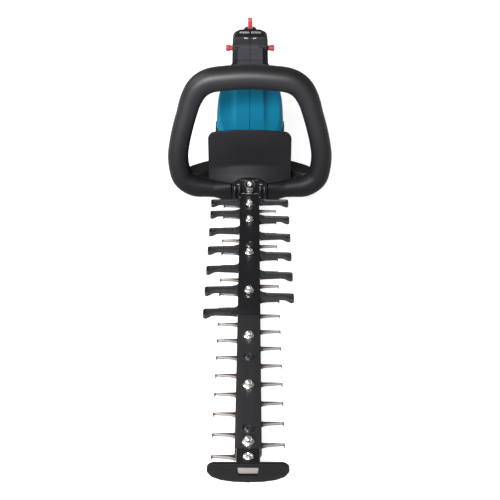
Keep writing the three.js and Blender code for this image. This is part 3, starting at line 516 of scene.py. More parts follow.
def guard_ring(x):
    """The guard's section at one place across: an upright plate, folded forwards below into a scoop."""
    share = min(1.0, abs(x) / GUARD_HALF)
    corner = max(0.0, share - 0.84) / 0.16
    top = 114 - 6 * share**2 - 10 * (1 - math.sqrt(max(0.0, 1 - 0.98 * corner**2)))
    bow = -35 + 4 * share**2
    fold = 62 - 10 * share**2
    bottom = 37 + 1.5 * share**2
    reach = bow - 11 + 8 * share**2
    profile = [
        (bow + 1, top),
        (bow - 0.5, (top + fold) / 2),
        (bow, fold + 2),
        (bow - 0.5, fold - 1),
        ((bow + reach) / 2 + 0.3, (fold + bottom) / 2),
        (reach, bottom),
        (reach + 2.6, bottom),
        ((bow + reach) / 2 + GUARD_THICK, (fold + bottom) / 2),
        (bow + GUARD_THICK, fold - 1),
        (bow + GUARD_THICK - 0.5, (top + fold) / 2),
        (bow + 1 + GUARD_THICK, top),
    ]
    return [(x, y, z) for y, z in eased(profile, 1.1, 3)]


def hand_guard():
    shares = [math.sin(math.pi / 2 * (k / 32)) for k in range(-32, 33)]
    guard = bevelled(loft([guard_ring(GUARD_HALF * s) for s in shares]), 0.9, 2, 60)
    for side in (-1, 1):
        guard = fused(guard, block(sorted((side * 26, side * 34)), (-32.5, -14.3), (66, 78)))
    nose = [(8, 45.7), (14.2, 44.2), (21.4, 40.1), (25.6, 34)]
    nose = [(-25.6, 20), *[(-x, z) for x, z in reversed(nose)], *nose, (25.6, 20)]
    guard = cut(guard, prism(nose, (-70, -20), "Y"))
    piece("hand_guard_plate", guard, ROOT, ["hand_guard"], "black_plastic", sharp=45)


# ---------------------------------------------------------------- blades, guide bar and comb
BAR_HALF = 13.2
REACH = 36
TOOTH_PITCH = 29.8
FIRST_TEETH = ((1, -79, 16), (-1, -65.2, 17))  # side, place along the blade and number of teeth
BLADE_THICK = 1.5
LOWER_BLADE_Z = 11.9
UPPER_BLADE_Z = 13.7
BAR_Z = (15.5, 18.5)
COMB_Z = (18.8, 21.8)
BOLT_YS = [-72.5, -115, -195, -277.5, -360.5, -443.5, -526.5]
BOLT_HOLE = 2.8
TIP_SCREW_Y = -550.5
OIL_HOLE_YS = [-176, -286, -397, -508]
COMB_END = -322
COMB_REACH = 53
COMB_PITCH = 44.5
COMB_ROWS = [(1, -60.5 - COMB_PITCH * k) for k in range(6)] + [(-1, -60.5)]
COMB_ROWS += [(-1, -91 - COMB_PITCH * k) for k in range(6)]


def tooth(side, y, ground):
    """One tooth's outline: the full one at its cutting edge, or the narrower one above its ground flanks."""
    root, tip = side * (BAR_HALF - 1), side * REACH
    if ground:
        return [
            (root, y + 2.8),
            (root + side * 3, y + 1.6),
            (tip - side * 1.4, y + 1.1),
            (tip - side * 0.4, y + 0.7),
            (tip - side * 0.4, y - 2.5),
            (tip - side * 0.8, y - 2.5),
            (tip - side * 1.8, y + 0.5),
            (root + side * 8, y - 0.6),
            (root + side * 3.5, y - 1.7),
            (root, y - 3.2),
        ]
    return [
        (root, y + 4.2),
        (root + side * 3, y + 2.6),
        (tip - side * 1, y + 1.5),
        (tip, y + 0.8),
        (tip, y - 2.9),
        (tip - side * 1.2, y - 2.9),
        (tip - side * 2.3, y + 0.1),
        (root + side * 8, y - 2.2),
        (root + side * 3.5, y - 3.4),
        (root, y - 5.4),
    ]


def blade(z, ground_up):
    outline = [(10, -24), (10, -53), (BAR_HALF, -56), (BAR_HALF, -538), (8.2, -548), (-8.2, -548)]
    outline += [(-BAR_HALF, -543), (-BAR_HALF, -56), (-10, -53), (-10, -24)]
    made = prism(outline, (z, z + BLADE_THICK))
    teeth = []
    for side, first, count in FIRST_TEETH:
        for k in range(count):
            y = first - TOOTH_PITCH * k
            levels = ((z, not ground_up), (z + BLADE_THICK, ground_up))
            teeth.append(loft([[(*p, level) for p in tooth(side, y, ground)] for level, ground in levels]))
    made = fused(made, *teeth)
    slots = []
    for y in BOLT_YS:
        ends = [(3.1 * math.cos(a), 3.1 * math.sin(a)) for a in (math.pi * k / 8 for k in range(9))]
        slot = [(c, y + 7.5 + s) for c, s in ends] + [(-c, y - 7.5 - s) for c, s in ends]
        slots.append(prism(slot, (z - 1, z + 3)))
    slots += [lathe([(2.1, z - 1), (2.1, z + 3)], (x, -34, 0)) for x in (-5.5, 5.5)]
    return cut(made, *slots)


def by_grinding_and_comb_shade(centre, normal):
    """Bright flats and ground edges, with painted shade on the faces under the comb's teeth, in the comb's dark
    finish.
    """
    # Faces under a comb tooth are painted dark as the comb's shade.
    beneath = any(side * centre.x > BAR_HALF and y - 14 < centre.y < y + 5 for side, y in COMB_ROWS)
    if beneath:
        return 2
    return 0 if abs(normal.z) > 0.95 else 1


def blades():
    for level, z in (("upper", UPPER_BLADE_Z), ("lower", LOWER_BLADE_Z)):
        made = blade(z, level == "upper")
        # The comb's dark finish goes on the blade faces under its teeth as painted shade.
        finishes = {"second": [EDGE, RIB], "choose": by_grinding_and_comb_shade}
        piece(f"{level}_blade_strip", made, f"{level}_cutter", [f"{level}_blade"], "ground_steel", **finishes)

    outline = [(BAR_HALF, -58), (BAR_HALF, -534), (10, -538), (10, -556.5), (-10, -556.5), (-10, -538)]
    outline += [(-BAR_HALF, -534), (-BAR_HALF, -58)]
    bar = prism(outline, BAR_Z)
    bar = fused(bar, block((-10, 10), (-561, -556), (11, BAR_Z[1])))
    bar = bevelled(bar, 0.7, 2)
    holes = [lathe([(BOLT_HOLE, 10), (BOLT_HOLE, 25)], (0, y, 0)) for y in (*BOLT_YS, TIP_SCREW_Y)]
    holes += [lathe([(2.2, 10), (2.2, 17.6), (4.2, 19.2)], (0, y, 0)) for y in OIL_HOLE_YS]
    bar = cut(bar, *holes)
    bar = merged(bar, *[part for y in OIL_HOLE_YS if y < COMB_END for part in oiler(y, BAR_Z[1])])
    piece(
        "guide_bar_strip",
        bar,
        ROOT,
        ["guide_bar"],
        "blackened_steel",
        second=[INSERT, GLOSS],
        choose=lambda c, n: 1 if c.y < -556.5 else 2 if by_plug(c, BAR_Z[1]) else 0,
    )


def oiler(y, top):
    """The socketed plug in an oil hole, with the pressed rings round it."""
    middle = (0, y, top)
    plug = lathe([(4.1, -0.5), (4.1, 0.3), (3.4, 1), (2.2, 1.3), (0.3, 1.35)], middle, steps=36)
    plug = cut(plug, lathe([(1.5, 0.1), (1.5, 3)], middle, steps=6))
    rings = []
    for radius in (5.1, 6.3):
        profile = [(0.5, -0.2), (0.4, 0.2), (0, 0.8), (-0.3, 0.2), (-0.35, -0.2)]
        ring = lathe([(radius + out, up) for out, up in profile], middle, steps=40)
        rings.append(cut(ring, lathe([(radius - 0.4, -1), (radius - 0.4, 1)], middle, steps=40)))
    return [plug, *rings]


def by_plug(centre, top):
    """Whether a face belongs to an oil plug or its rings, above a surface at top."""
    return centre.z > top + 0.02 and any(math.hypot(centre.x, centre.y - y) < 7 for y in OIL_HOLE_YS)


def comb_tooth(side, y):
    root, tip = side * (BAR_HALF - 1), side * COMB_REACH
    return [
        (root, y + 7),
        (side * (BAR_HALF + 2), y + 3.5),
        (side * (BAR_HALF + 8), y + 1),
        (tip - side * 2, y),
        (tip, y - 2),
        (tip, y - 11.5),
        (tip - side * 3, y - 13),
        (tip - side * 6, y - 11),
        (tip - side * 10, y - 7.2),
        (tip - side * 14, y - 6.4),
        (side * (BAR_HALF + 6), y - 7.6),
        (root, y - 9),
    ]


def comb_finish(centre, normal):
    """Gloss on the plugs and on the teeth's eased edges."""
    if by_plug(centre, COMB_Z[1]):
        return 2
    if abs(centre.x) < BAR_HALF + 0.5:
        return 0
    return 2 if 0.15 < normal.z < 0.97 else 1


def comb():
    low, high = COMB_Z
    spine = [(BAR_HALF, -46), (BAR_HALF, COMB_END), (-BAR_HALF, COMB_END), (-BAR_HALF, -46)]
    made = prism(spine, COMB_Z)
    teeth = [prism(eased(comb_tooth(side, y), 1.6, 3), (16.2, high)) for side, y in COMB_ROWS]
    clear = block((-13.5, 13.5), (-400, 0), (0, low))
    made = cut(fused(made, *teeth), clear)
    made = cut(made, prism([(-330, 18.85), (-321.9, 18.85), (-315.5, 22.1), (-330, 22.1)], (-20, 20), "X"))
    made = bevelled(made, 0.9, 3, 40)
    pockets = []
    for side, y in COMB_ROWS:
        pocket = [
            (side * (BAR_HALF + 5), y + 0.2),
            (side * (BAR_HALF + 10), y - 1.5),
            (side * 50, y - 1.9),
            (side * 51, y - 3),
            (side * 51, y - 10),
            (side * 48.5, y - 10),
            (side * 44, y - 5.6),
            (side * 39, y - 4.7),
            (side * (BAR_HALF + 7), y - 5.6),
        ]
        pocket = eased(pocket, 0.8, 2)
        levels = ((pocket, 19.9), (swollen(pocket, 0.9), 22.1))
        pockets.append(loft([[(*p, z) for p in outline] for outline, z in levels]))
    made = cut(made, *pockets)
    holes = [lathe([(BOLT_HOLE, 10), (BOLT_HOLE, 25)], (0, y, 0)) for y in BOLT_YS if y > COMB_END]
    holes += [lathe([(2.2, 10), (2.2, 20.6), (4.2, 22.4)], (0, y, 0)) for y in OIL_HOLE_YS if y > COMB_END]
    made = cut(made, *holes)
    made = merged(made, *[part for y in OIL_HOLE_YS if y > COMB_END for part in oiler(y, high)])
    piece(
        "comb_guard_strip",
        made,
        ROOT,
        ["comb_guard"],
        "black_plastic",
        sharp=40,
        second=[RIB, GLOSS],
        choose=comb_finish,
    )


def blade_fasteners():
    for i, y in enumerate(BOLT_YS):
        seat = 22.1 if y > COMB_END else 18.8
        flange = lathe([(5.8, seat), (5.8, seat + 0.5), (5.2, seat + 1.1), (4.4, seat + 1.3)], (0, y, 0))
        hexagon = kept(
            lathe([(4.9, seat + 0.6), (4.9, seat + 3)], (0, y, 0), steps=6, turn=0.0),
            lathe([(5.4, seat), (5.2, seat + 2), (4.4, seat + 2.8), (3.4, seat + 3.2)], (0, y, 0)),
        )
        dome = [(3.9, 2), (3.9, 3.6), (3.6, 4.7), (2.9, 5.7), (1.7, 6.4), (0.4, 6.7)]
        dome = lathe([(r, seat + z) for r, z in dome], (0, y, 0))
        nut = bevelled(fused(flange, hexagon, dome), 0.18, 2, 40)
        nut = cut(nut, lathe([(BOLT_HOLE, seat - 1), (BOLT_HOLE, seat + 3.6)], (0, y, 0)))
        piece(f"blade_nut_{i + 1}_cap", nut, ROOT, [f"blade_nut_{i + 1}"], "plated_steel")
        top = 4.0 if y > -120 else 11.6
        head = lathe([(5.5, top - 2.6), (5.5, top)], (0, y, 0), steps=6, turn=0.0)
        crown = lathe([(4.2, top - 2.7), (5.1, top - 2.5), (6, top - 1.9), (6, top + 1)], (0, y, 0))
        shank = lathe([(2.5, top - 1), (2.5, seat + 3.2)], (0, y, 0))
        bolt = fused(bevelled(kept(head, crown), 0.15), shank)
        piece(f"blade_bolt_{i + 1}_hex", bolt, ROOT, [f"blade_bolt_{i + 1}"], "blackened_steel")


def tip_guard():
    outline = [(-34, 24), (-39, 20), (-39, 14), (-35, 7.5), (-26, 3), (-14, 0.7), (0, 0)]
    outline += [(-x, z) for x, z in reversed(outline[:-1])]
    plate = prism(eased(outline, 7, 6), (-561.8, -558), "Y")
    plate = fused(plate, block((-11.5, 11.5), (-559, -538.5), (18.8, 22)))
    plate = bevelled(plate, 0.8, 3, 35)
    window = prism(eased([(-10.6, 20), (10.6, 20), (9, 9), (-9, 9)], 1), (-570, -550), "Y")
    plate = cut(plate, window, lathe([(BOLT_HOLE, 0), (BOLT_HOLE, 30)], (0, TIP_SCREW_Y, 0)))
    # Faces on the edges beside the window are painted pale as a highlight.
    piece(
        "tip_guard_plate",
        plate,
        ROOT,
        ["tip_guard"],
        "black_plastic",
        material=PLATE,
        second=[PAINTED_HIGHLIGHT],
        choose=lambda c, n: 1 if -556 < c.y < -545 and 10.7 < abs(c.x) < 11.45 and n.z > 0.3 else 0,
    )

    seat = (0, TIP_SCREW_Y, 22.3)
    head = lathe([(5.2, 0), (5.2, 0.6), (4.7, 1.8), (3.6, 2.6), (2, 2.95), (0.4, 3)], seat)
    recess = (seat[2] + 1.4, seat[2] + 4)
    across = block((-3.6, 3.6), (TIP_SCREW_Y - 0.7, TIP_SCREW_Y + 0.7), recess)
    along = block((-0.7, 0.7), (TIP_SCREW_Y - 3.6, TIP_SCREW_Y + 3.6), recess)
    head = cut(head, across, along)
    head = fused(head, lathe([(2.5, 15.5), (2.5, 23)], (0, TIP_SCREW_Y, 0)))
    piece("tip_screw_head", head, ROOT, ["tip_screw"], "plated_steel")


# ---------------------------------------------------------------- gear case
def slab(y, half, bottom, top, radius, steps=10):
    """A rounded rectangle across X and Z at one place along Y."""
    ring = []
    for cx, cz, start in (
        (half - radius, top - radius, 0),
        (radius - half, top - radius, 90),
        (radius - half, bottom + radius, 180),
        (half - radius, bottom + radius, 270),
    ):
        for k in range(steps + 1):
            a = math.radians(start + 90 * k / steps)
            ring.append((cx + radius * math.cos(a), y, cz + radius * math.sin(a)))
    return ring


def plan(x0, x1, y0, y1, radius):
    return eased([(x0, y0), (x1, y0), (x1, y1), (x0, y1)], radius, 8)


def by_nose_highlight(centre, normal):
    """The lip above the bar and the two small screws at the top of the nose, painted pale as highlights."""
    lip = abs(centre.x) < 12.5 and centre.y < -42.9 and 22.1 < centre.z < 23
    screws = 13 < abs(centre.x) < 18 and centre.y < -45.05 and 35.4 < centre.z < 38
    return 1 if lip or screws else 0


COLLAR_Z = 38.2
NOSE_SCREW_Z = 38.5
MOTOR_Y = 30


def gear_case():
    body = prism(plan(-33, 33, -36, 62, 9), (4.3, 42))
    nose = loft([slab(-33, 25, 4.3, 45, 9), slab(-43, 25, 4.3, 45, 9), slab(-45, 23.5, 5.8, 43.5, 8)])
    shoulder = [(8, 46), (26, 46), (26, 33), (21, 39.5), (14, 43.4)]
    nose = cut(nose, *[prism([(side * x, z) for x, z in shoulder], (-50, -38), "Y") for side in (-1, 1)])
    barrel = lathe([(7.2, -46.2), (7.2, -40)], (0, 0, COLLAR_Z), "Y", 40)
    pillar = block((-7, 7), (-46, -40), (21.5, 38))
    cheeks = []
    for x in (-20.5, -14.5, 14.5, 20.5):
        rings = []
        for z, y, r in ((6, -47, 2.4), (26, -47, 2.4), (31, -45.5, 1.8), (34, -43.5, 1.2)):
            turns = [math.tau * k / 20 for k in range(20)]
            rings.append([(x + r * math.cos(a), y + r * math.sin(a), z) for a in turns])
        cheeks.append(loft(rings))
    body = softened(fused(body, nose, barrel, pillar, *cheeks), 0.7, 4)
    tongue = fused(block((-12, 12), (-120, -48.3), (4.3, 11.6)), block((-12, 12), (-49, -40), (4.3, 7.8)))
    tongue = bevelled(tongue, 0.6)
    slot = block((-14, 14), (-52, -30), (7.8, 19.6))
    cavity = prism(plan(-29.5, 29.5, -31, 41, 6), (3.3, 38.3))
    body = cut(body, slot, cavity)
    crank_seat = tube(14.5, 11.3, (30.5, 39.5), (0, 0, 0))
    motor_seat = tube(11, 8.3, (41, 47), (0, MOTOR_Y, 0))
    body = fused(body, tongue, crank_seat, motor_seat)
    cuts = [lathe([(4, 30), (4, 50)], (0, MOTOR_Y, 0))]
    cuts.append(lathe([(2.6, -60), (2.6, -38.5)], (0, 0, NOSE_SCREW_Z), "Y"))
    cuts.append(lathe([(6.2, -50), (6.2, -45)], (0, 0, COLLAR_Z), "Y", 40))
    cuts += [lathe([(BOLT_HOLE, 0), (BOLT_HOLE, 20)], (0, y, 0)) for y in BOLT_YS[:2]]
    body = cut(body, *cuts)
    lip = bevelled(block((-12.4, 12.4), (-45.8, -43), (22.2, 22.9)), 0.2)
    dimples = []
    for side in (-1, 1):
        dimple = lathe([(0.4, -45.6), (1.6, -45.4), (2.3, -44.8), (2.3, -44)], (0, 0, 0), "Y", 24)
        flattened = Matrix.Diagonal((1, 1, 0.42, 1))
        dimple.data.transform(Matrix.Translation(Vector((side * 15.5, 0, 36.6)) * MM) @ flattened)
        dimples.append(dimple)
    body = merged(body, lip, *dimples)
    # The lip and the two screws take the pale finish as painted highlights.
    finishes = {"second": [PAINTED_HIGHLIGHT], "choose": by_nose_highlight}
    piece("gear_case_body", body, ROOT, ["gear_case"], "painted_alloy", sharp=40, **finishes)

    middle = (0, 0, NOSE_SCREW_Z)
    cap = lathe([(3.9, -45.3), (3.9, -46.2), (3.5, -47.1), (2.6, -47.8), (2.0, -48)], middle, "Y")
    socket = lathe([(2.0, -50), (2.0, -47)], middle, "Y", 6)
    cap = cut(cap, socket)
    stack = []
    for z, w in ((31.4, 4.6), (27.6, 4.4), (23.9, 3.4)):
        stack.append(bevelled(block((-w, w), (-48.6, -46), (z - 1.3, z + 1.3)), 0.5))
    collar = tube(6.9, 6.25, (-47, -46), (0, 0, COLLAR_Z), "Y", 40)
    stack.append(cut(collar, block((-3.6, 3.6), (-60, -40), (20, 60)), block((-9, 9), (-60, -40), (20, 34))))
    shank = lathe([(2.3, -46), (2.3, -39)], middle, "Y")
    screws = merged(fused(cap, shank), *stack)
    piece("nose_screws", screws, ROOT, ["nose_screw"], "plated_steel", material=SATIN)

    cover = bevelled(prism(plan(-38, 38, -16, 66, 10), (0, 4)), 0.9, 3)
    ribs = [prism(plan(x - 1, x + 1, -6, 56, 0.9), (-1, 0.7)) for x in (-20, -10, 0, 10, 20)]
    cover = cut(cover, *ribs)
    cover = fused(cover, lathe([(10, 2), (10, 6.5)], (0, 0, 0)))
    cover = cut(cover, lathe([(7.8, 1.2), (7.8, 8)], (0, 0, 0)))
    piece("gear_case_cover_plate", cover, ROOT, ["gear_case_cover"], "black_plastic")


# ---------------------------------------------------------------- motor housing
# Sections from front to back: the place, half width, bottom, top and corner radius.
HOUSING = [
    (-14, 45, 4.3, 93, 13),
    (6, 46.5, 4.3, 102, 13),
    (36, 47, 4.3, 114.5, 13),
    (68, 46, 4.3, 127, 14),
    (98, 42.5, 8, 132.5, 15),
    (118, 38.5, 24, 135, 16),
    (130, 35, 38, 136.5, 16),
]
HOUSING_SCREWS = [(-6, 82), (74, 112), (74, 16), (118, 60)]
SEAM = 0.15  # half the gap between two halves
LINING_DROP = 3.4


def half_space(side):
    return block(sorted((side * SEAM, side * 90)), (-200, 400), (-50, 250))


def halves(target, names, nodes, slot, **more):
    right = kept(copied(target), half_space(1))
    left = kept(target, half_space(-1))
    piece(names[0], left, ROOT, [nodes[0]], slot, **more)
    piece(names[1], right, ROOT, [nodes[1]], slot, **more)


def outer_step(share):
    """What is cut from the roof beside its raised middle panel: across, and up from the roof."""
    inner = [(19, 8), (19.6, 0.2), (21.2, -1.6 * share), (24.2, -3.5 * share), (28, -4.2 * share)]
    return inner + [(33, 0.6 - 4.6 * share), (38, 1 - 4.6 * share), (44, 3 - 6 * share), (50, 8)]


def lining_step(share):
    """The same for the roof's inside, which lies lower."""
    deep = -5.5 * share - LINING_DROP
    inner = [(19 - LINING_DROP, 8), (19.6 - LINING_DROP, 0.6 + deep), (22.5, deep)]
    return inner + [(34 + LINING_DROP, 1 - LINING_DROP), (37 + LINING_DROP, 8)]


def roof_steps(row, outline):
    """The steps on both sides of the roof's middle panel, fading out to the front."""
    made = []
    for side in (-1, 1):
        rings = []
        for y, share in ((-8, 0), (2, 0.3), (14, 0.65), (28, 0.9), (44, 1), (84, 1), (136, 1)):
            near = min(row, key=lambda p: abs(p[0] - y))
            roof = near[3] + (y - near[0]) * 0.2
            rings.append([(side * x, y, roof + z) for x, z in outline(share)])
        made.append(loft(rings))
    return made


def inset(row, by):
    """The sections' slabs, drawn in on every side but with the same corner radius."""
    return loft([slab(y, half - by, bottom + by, top - by, radius) for y, half, bottom, top, radius in row])


def side_vents(row):
    """The louvred panels at the front of both sides, in one mesh."""
    skin = [slab(y, half + 1.5, 4.3, top + 1, radius + 1) for y, half, _, top, radius in row if -12 < y < 60]
    cover = prism(eased([(-10, 40), (52, 34), (56, 52), (44, 92), (8, 96), (-11, 90)], 5, 4), (-80, 80), "X")
    vents = kept(loft(skin), cover)
    louvres = []
    for k in range(7):
        y = -2 + 7.5 * k
        louvre = prism([(y, 46), (y + 3, 46), (y + 8, 84), (y + 5, 84)], (-80, 80), "X")
        louvres.append(cut(louvre, block((-46.6, 46.6), (-50, 90), (0, 120))))
    inside = [block((-44.5, 44.5), (-50, 90), (0, 88)), block((-38, 38), (-50, 90), (0, 130))]
    return cut(vents, *louvres, *inside)


def housing_cuts():
    """Room for the gear case, the fan's bearing and the screws, and the row of slots in each side."""
    cuts = [block((-33.3, 33.3), (-50, 62.5), (0, 44)), lathe([(3.4, 100), (3.4, 106)], (0, MOTOR_Y, 0))]
    for y, z in HOUSING_SCREWS:
        cuts.append(lathe([(2.1, -25), (2.1, 60)], (0, y, z), "X"))
        cuts.append(lathe([(4.2, 32), (4.2, 60)], (0, y, z), "X"))
    for side in (-1, 1):
        for z in (40, 48, 56, 64, 72):
            slot = eased([(76, z), (96, z), (96, z + 3.5), (76, z + 3.5)], 1.2, 3)
            cuts.append(prism(slot, sorted((side * 30, side * 60)), "X"))
    return cuts


def housing():
    row = through(HOUSING, 8)
    outer = loft([slab(*p) for p in row])
    outer = cut(outer, *roof_steps(row, outer_step))
    outer = softened(outer, 0.8, 5)
    core = cut(inset(row, 0.7), block((-60, 60), (-60, -12), (0, 150)))
    seam_groove = cut(block((-0.55, 0.55), (-13, 129.4), (60, 150)), core)
    outer = cut(outer, seam_groove)
    inner = []
    for y, half, bottom, top, radius in row:
        if -10 < y < 127:
            inner.append(slab(y, half - 4.2, bottom + 3.4, top - 6.5, max(2, radius - 4)))
    lining = cut(loft(inner), *roof_steps(row, lining_step))
    shell = cut(outer, lining)
    bosses = []
    for screw_y, screw_z in HOUSING_SCREWS:
        room = [slab(y, half - 1, bottom + 1, top - 2, radius - 1) for y, half, bottom, top, radius in row]
        bosses.append(kept(lathe([(5.5, -60), (5.5, 60)], (0, screw_y, screw_z), "X"), loft(room)))
    seat = tube(10, 7.3, (97.5, 108), (0, MOTOR_Y, 0))
    shell = fused(shell, *bosses, seat)
    shell = cut(shell, *housing_cuts())
    vents = side_vents(row)
    shell = cut(shell, copied(vents))
    for face in vents.data.polygons:
        face.material_index = 1
    shell = merged(shell, vents)
    names = ("housing_left_shell", "housing_right_shell")
    halves(shell, names, ("housing_left", "housing_right"), "teal_plastic", sharp=40, second=[BLACK])
    for i, (y, z) in enumerate(HOUSING_SCREWS):
        head = lathe([(3.8, 32.3), (3.8, 33.6), (3.2, 34.5), (2.2, 34.8)], (0, y, z), "X")
        head = cut(head, lathe([(1.6, 33.4), (1.6, 36)], (0, y, z), "X", 6))
        head = fused(head, lathe([(1.8, -20), (1.8, 33)], (0, y, z), "X"))
        piece(f"housing_screw_{i + 1}_head", head, ROOT, [f"housing_screw_{i + 1}"], "blackened_steel")


# ---------------------------------------------------------------- rear handle
REAR_OUTLINE = [
    (145, 54), (150, 50.5), (334, 50.5), (341, 55), (344, 66), (343, 95), (338, 111), (328, 120.5),
    (306, 130.5), (260, 147), (222, 161), (212, 166), (200, 171), (183, 170), (177.5, 166.5), (174, 152.5),
    (150, 138), (145, 136),
]
REAR_OPENING = [
    (180, 84), (177, 92), (178, 114), (183, 124), (192, 129), (206, 130), (222, 126.5), (260, 113.5),
    (296, 100.5), (306, 94), (309, 86), (304, 79), (188, 77),
]
HUMP_OUTLINE = [
    (145, 100), (145, 136), (150, 138), (174, 152.5), (177.5, 166.5), (183, 170), (198, 171), (206, 160),
    (204, 140), (190, 134), (178, 124), (172, 100),
]
ARM_OUTLINE = [
    (145, 54), (150, 50.5), (334, 50.5), (340, 55), (341, 66), (336, 73), (186, 75), (172, 86), (160, 112),
    (145, 120),
]
# The grip's collar behind the housing and its dome below the fin: place, half width, bottom, top and radius.
COLLAR = [(130.3, 35, 38, 136.5, 16), (143, 31, 48, 140, 14), (151, 29.5, 52, 141, 12)]
COLLAR.append((158, 27, 54, 138, 10))
DOME = [
    (196, 6, 146, 168, 5.5), (201, 9.6, 146, 170, 7), (207, 10.8, 146, 171.2, 7.5),
    (213, 10.6, 146, 171, 7.5), (226, 8, 146, 166, 7), (234, 7, 146, 159, 6),
]
SWITCH_BAY = [
    (176, 135), (240, 124), (262, 121), (300, 109), (312, 108), (312, 118), (262, 138), (240, 147),
    (202, 158), (176, 157),
]
HUMP_BAY = [(158, 137), (158, 139.5), (172, 148), (179, 157), (200, 157), (200, 137)]
REAR_SCREWS = [(160, 92), (327, 88), (286, 127)]


def hump_block():
    """The raised front of the grip, rounded from the front and from above, with a sloping flank on each side."""
    side_view = prism(eased(HUMP_OUTLINE, 3, 3), (-27.5, 27.5), "X")
    front = eased([(-27.7, 90), (27.7, 90), (26.6, 171.2), (-26.6, 171.2)], 16, 10)
    top = eased([(-27.7, 140), (27.7, 140), (27.7, 212), (-27.7, 212)], 6, 6)
    made = kept(kept(side_view, prism(front, (100, 240), "Y")), prism(top, (60, 200)))
    flanks = []
    for side in (-1, 1):
        rings = []
        for y, z in ((140, 132.6), (172, 151.9)):
            corner = 19 if y < 150 else 17
            outline = ((corner, z + 0.1), (30, z - 6.5), (30, z + 20), (corner, z + 20))
            rings.append([(side * a, y, b) for a, b in outline])
        flanks.append(loft(rings))
    return cut(made, *flanks)


def crest():
    """The anti-slip ridges on the hump's crest and the small tabs at its front edge."""
    made = []
    for k in range(3):
        y = 184.4 + 1.9 * k
        z = 169.9 + 0.2 * k
        ridge = [(0, -1.5), (0, 0), (0.62, 1.02), (1.1, 1.02), (1.7, 0), (1.7, -1.5)]
        ridge = [(y + along, z + up) for along, up in ridge]
        half = 16.5 - 0.7 * abs(k - 1)
        made += [prism(ridge, sorted((side * 1.2, side * half)), "X") for side in (-1, 1)]
    tab = [(179, 162), (176.5, 163.4), (176.5, 164.1), (177.4, 165.6), (179, 165.8)]
    made += [prism(tab, (x - 0.6, x + 0.6), "X") for x in (-8.2, -6.4, -4.6, 4.6, 6.4, 8.2)]
    return made


def by_handle_zone(centre, normal):
    """The finish for a face: soft grip behind, painted highlights on the crest's and tabs' lamp-facing slopes,
    and painted light on the hump's panel.
    """
    on_crest = 184.3 < centre.y < 190 and centre.z > 169.8 and 1 < abs(centre.x) < 16.6
    on_tabs = 176.4 < centre.y < 177.5 and 164 < centre.z < 165.7 and 4 < abs(centre.x) < 9
    # Slopes that face the lamps get the paler, glossier finish as a painted highlight.
    if (on_crest or on_tabs) and 0.3 < normal.z < 0.75 and normal.y < -0.4:
        return 2
    # Upward faces of the hump's panel are painted paler as painted light.
    if abs(centre.x) < 18.6 and 132 < centre.y < 173 and centre.z > 120 and normal.z > 0.6:
        return 3
    return 1 if 232 < centre.y < 322 and 92 < centre.z < 156 else 0


def rear_handle():
    grip = prism(eased(REAR_OUTLINE, 6, 4), (-19, 19), "X")
    grip = cut(grip, prism(eased(REAR_OPENING, 5, 4), (-30, 30), "X"))
    grip = cut(grip, block((-30, 30), (140, 172), (125, 160)))
    arm = prism(eased(ARM_OUTLINE, 6, 3), (-29, 29), "X")
    body = softened(fused(grip, arm), 1.2, 36)
    hump = softened(hump_block(), 0.8, 5)
    collar = loft([slab(*p) for p in through(COLLAR, 4)])
    dome = loft([slab(*p) for p in DOME])
    body = softened(merged(body, hump, collar, dome), 0.8, 3)
    body = fused(body, *crest())
    cuts = [
        block((-60, 60), (100, 130.3), (0, 200)),
        prism(SWITCH_BAY, (-14, 14), "X"),
        block((-8.4, 8.4), (184, 243), (100, 150)),
        prism(HUMP_BAY, (-22, 22), "X"),
        block((-13, 13), (316, 337), (70, 110)),
        block((-24, 24), (134, 152), (64, 122)),
        block((-3.7, 3.7), (203, 230), (150, 190)),
        lathe([(2.4, -7.5), (2.4, 7.5)], (0, 209, 159), "X"),
        block((-23, 23), (150, 330), (60, 69)),
        block((-20, 20), (175, 360), (40, 53.5)),
        block((-25, 25), (175, 360), (53, 57.3)),
        lathe([(4.9, -60), (4.9, 60)], (0, 182, 148), "X"),
    ]
    for y, z in REAR_SCREWS:
        cuts.append(lathe([(2.1, -12), (2.1, 60)], (0, y, z), "X"))
        cuts.append(lathe([(4, 14), (4, 60)], (0, y, z), "X"))
    seam = [(146, 135.5), (150.3, 137.3), (174.6, 151.8), (178.2, 166.1), (183.2, 169.3), (197, 170.2)]
    seam += [(197, 178), (168, 178), (146, 146)]
    cuts.append(prism(seam, (-0.5, 0.5), "X"))
    for cutter in cuts:
        body = cut(body, cutter)
    halves(
        body,
        ("rear_handle_left_shell", "rear_handle_right_shell"),
        ("rear_handle_left", "rear_handle_right"),
        "black_plastic",
        sharp=40,
        second=[SOFT, CREST_HIGHLIGHT, LIT_PANEL],
        choose=by_handle_zone,
    )
    for i, (y, z) in enumerate(REAR_SCREWS, 1):
        head = lathe([(3.6, 14.3), (3.6, 15.4), (3, 16.3), (2.2, 16.5)], (0, y, z), "X")
        head = cut(head, lathe([(1.5, 15.2), (1.5, 18)], (0, y, z), "X", 6))
        head = fused(head, lathe([(1.8, -9), (1.8, 15)], (0, y, z), "X"))
        piece(f"rear_handle_screw_{i}_head", head, ROOT, [f"rear_handle_screw_{i}"], "blackened_steel")


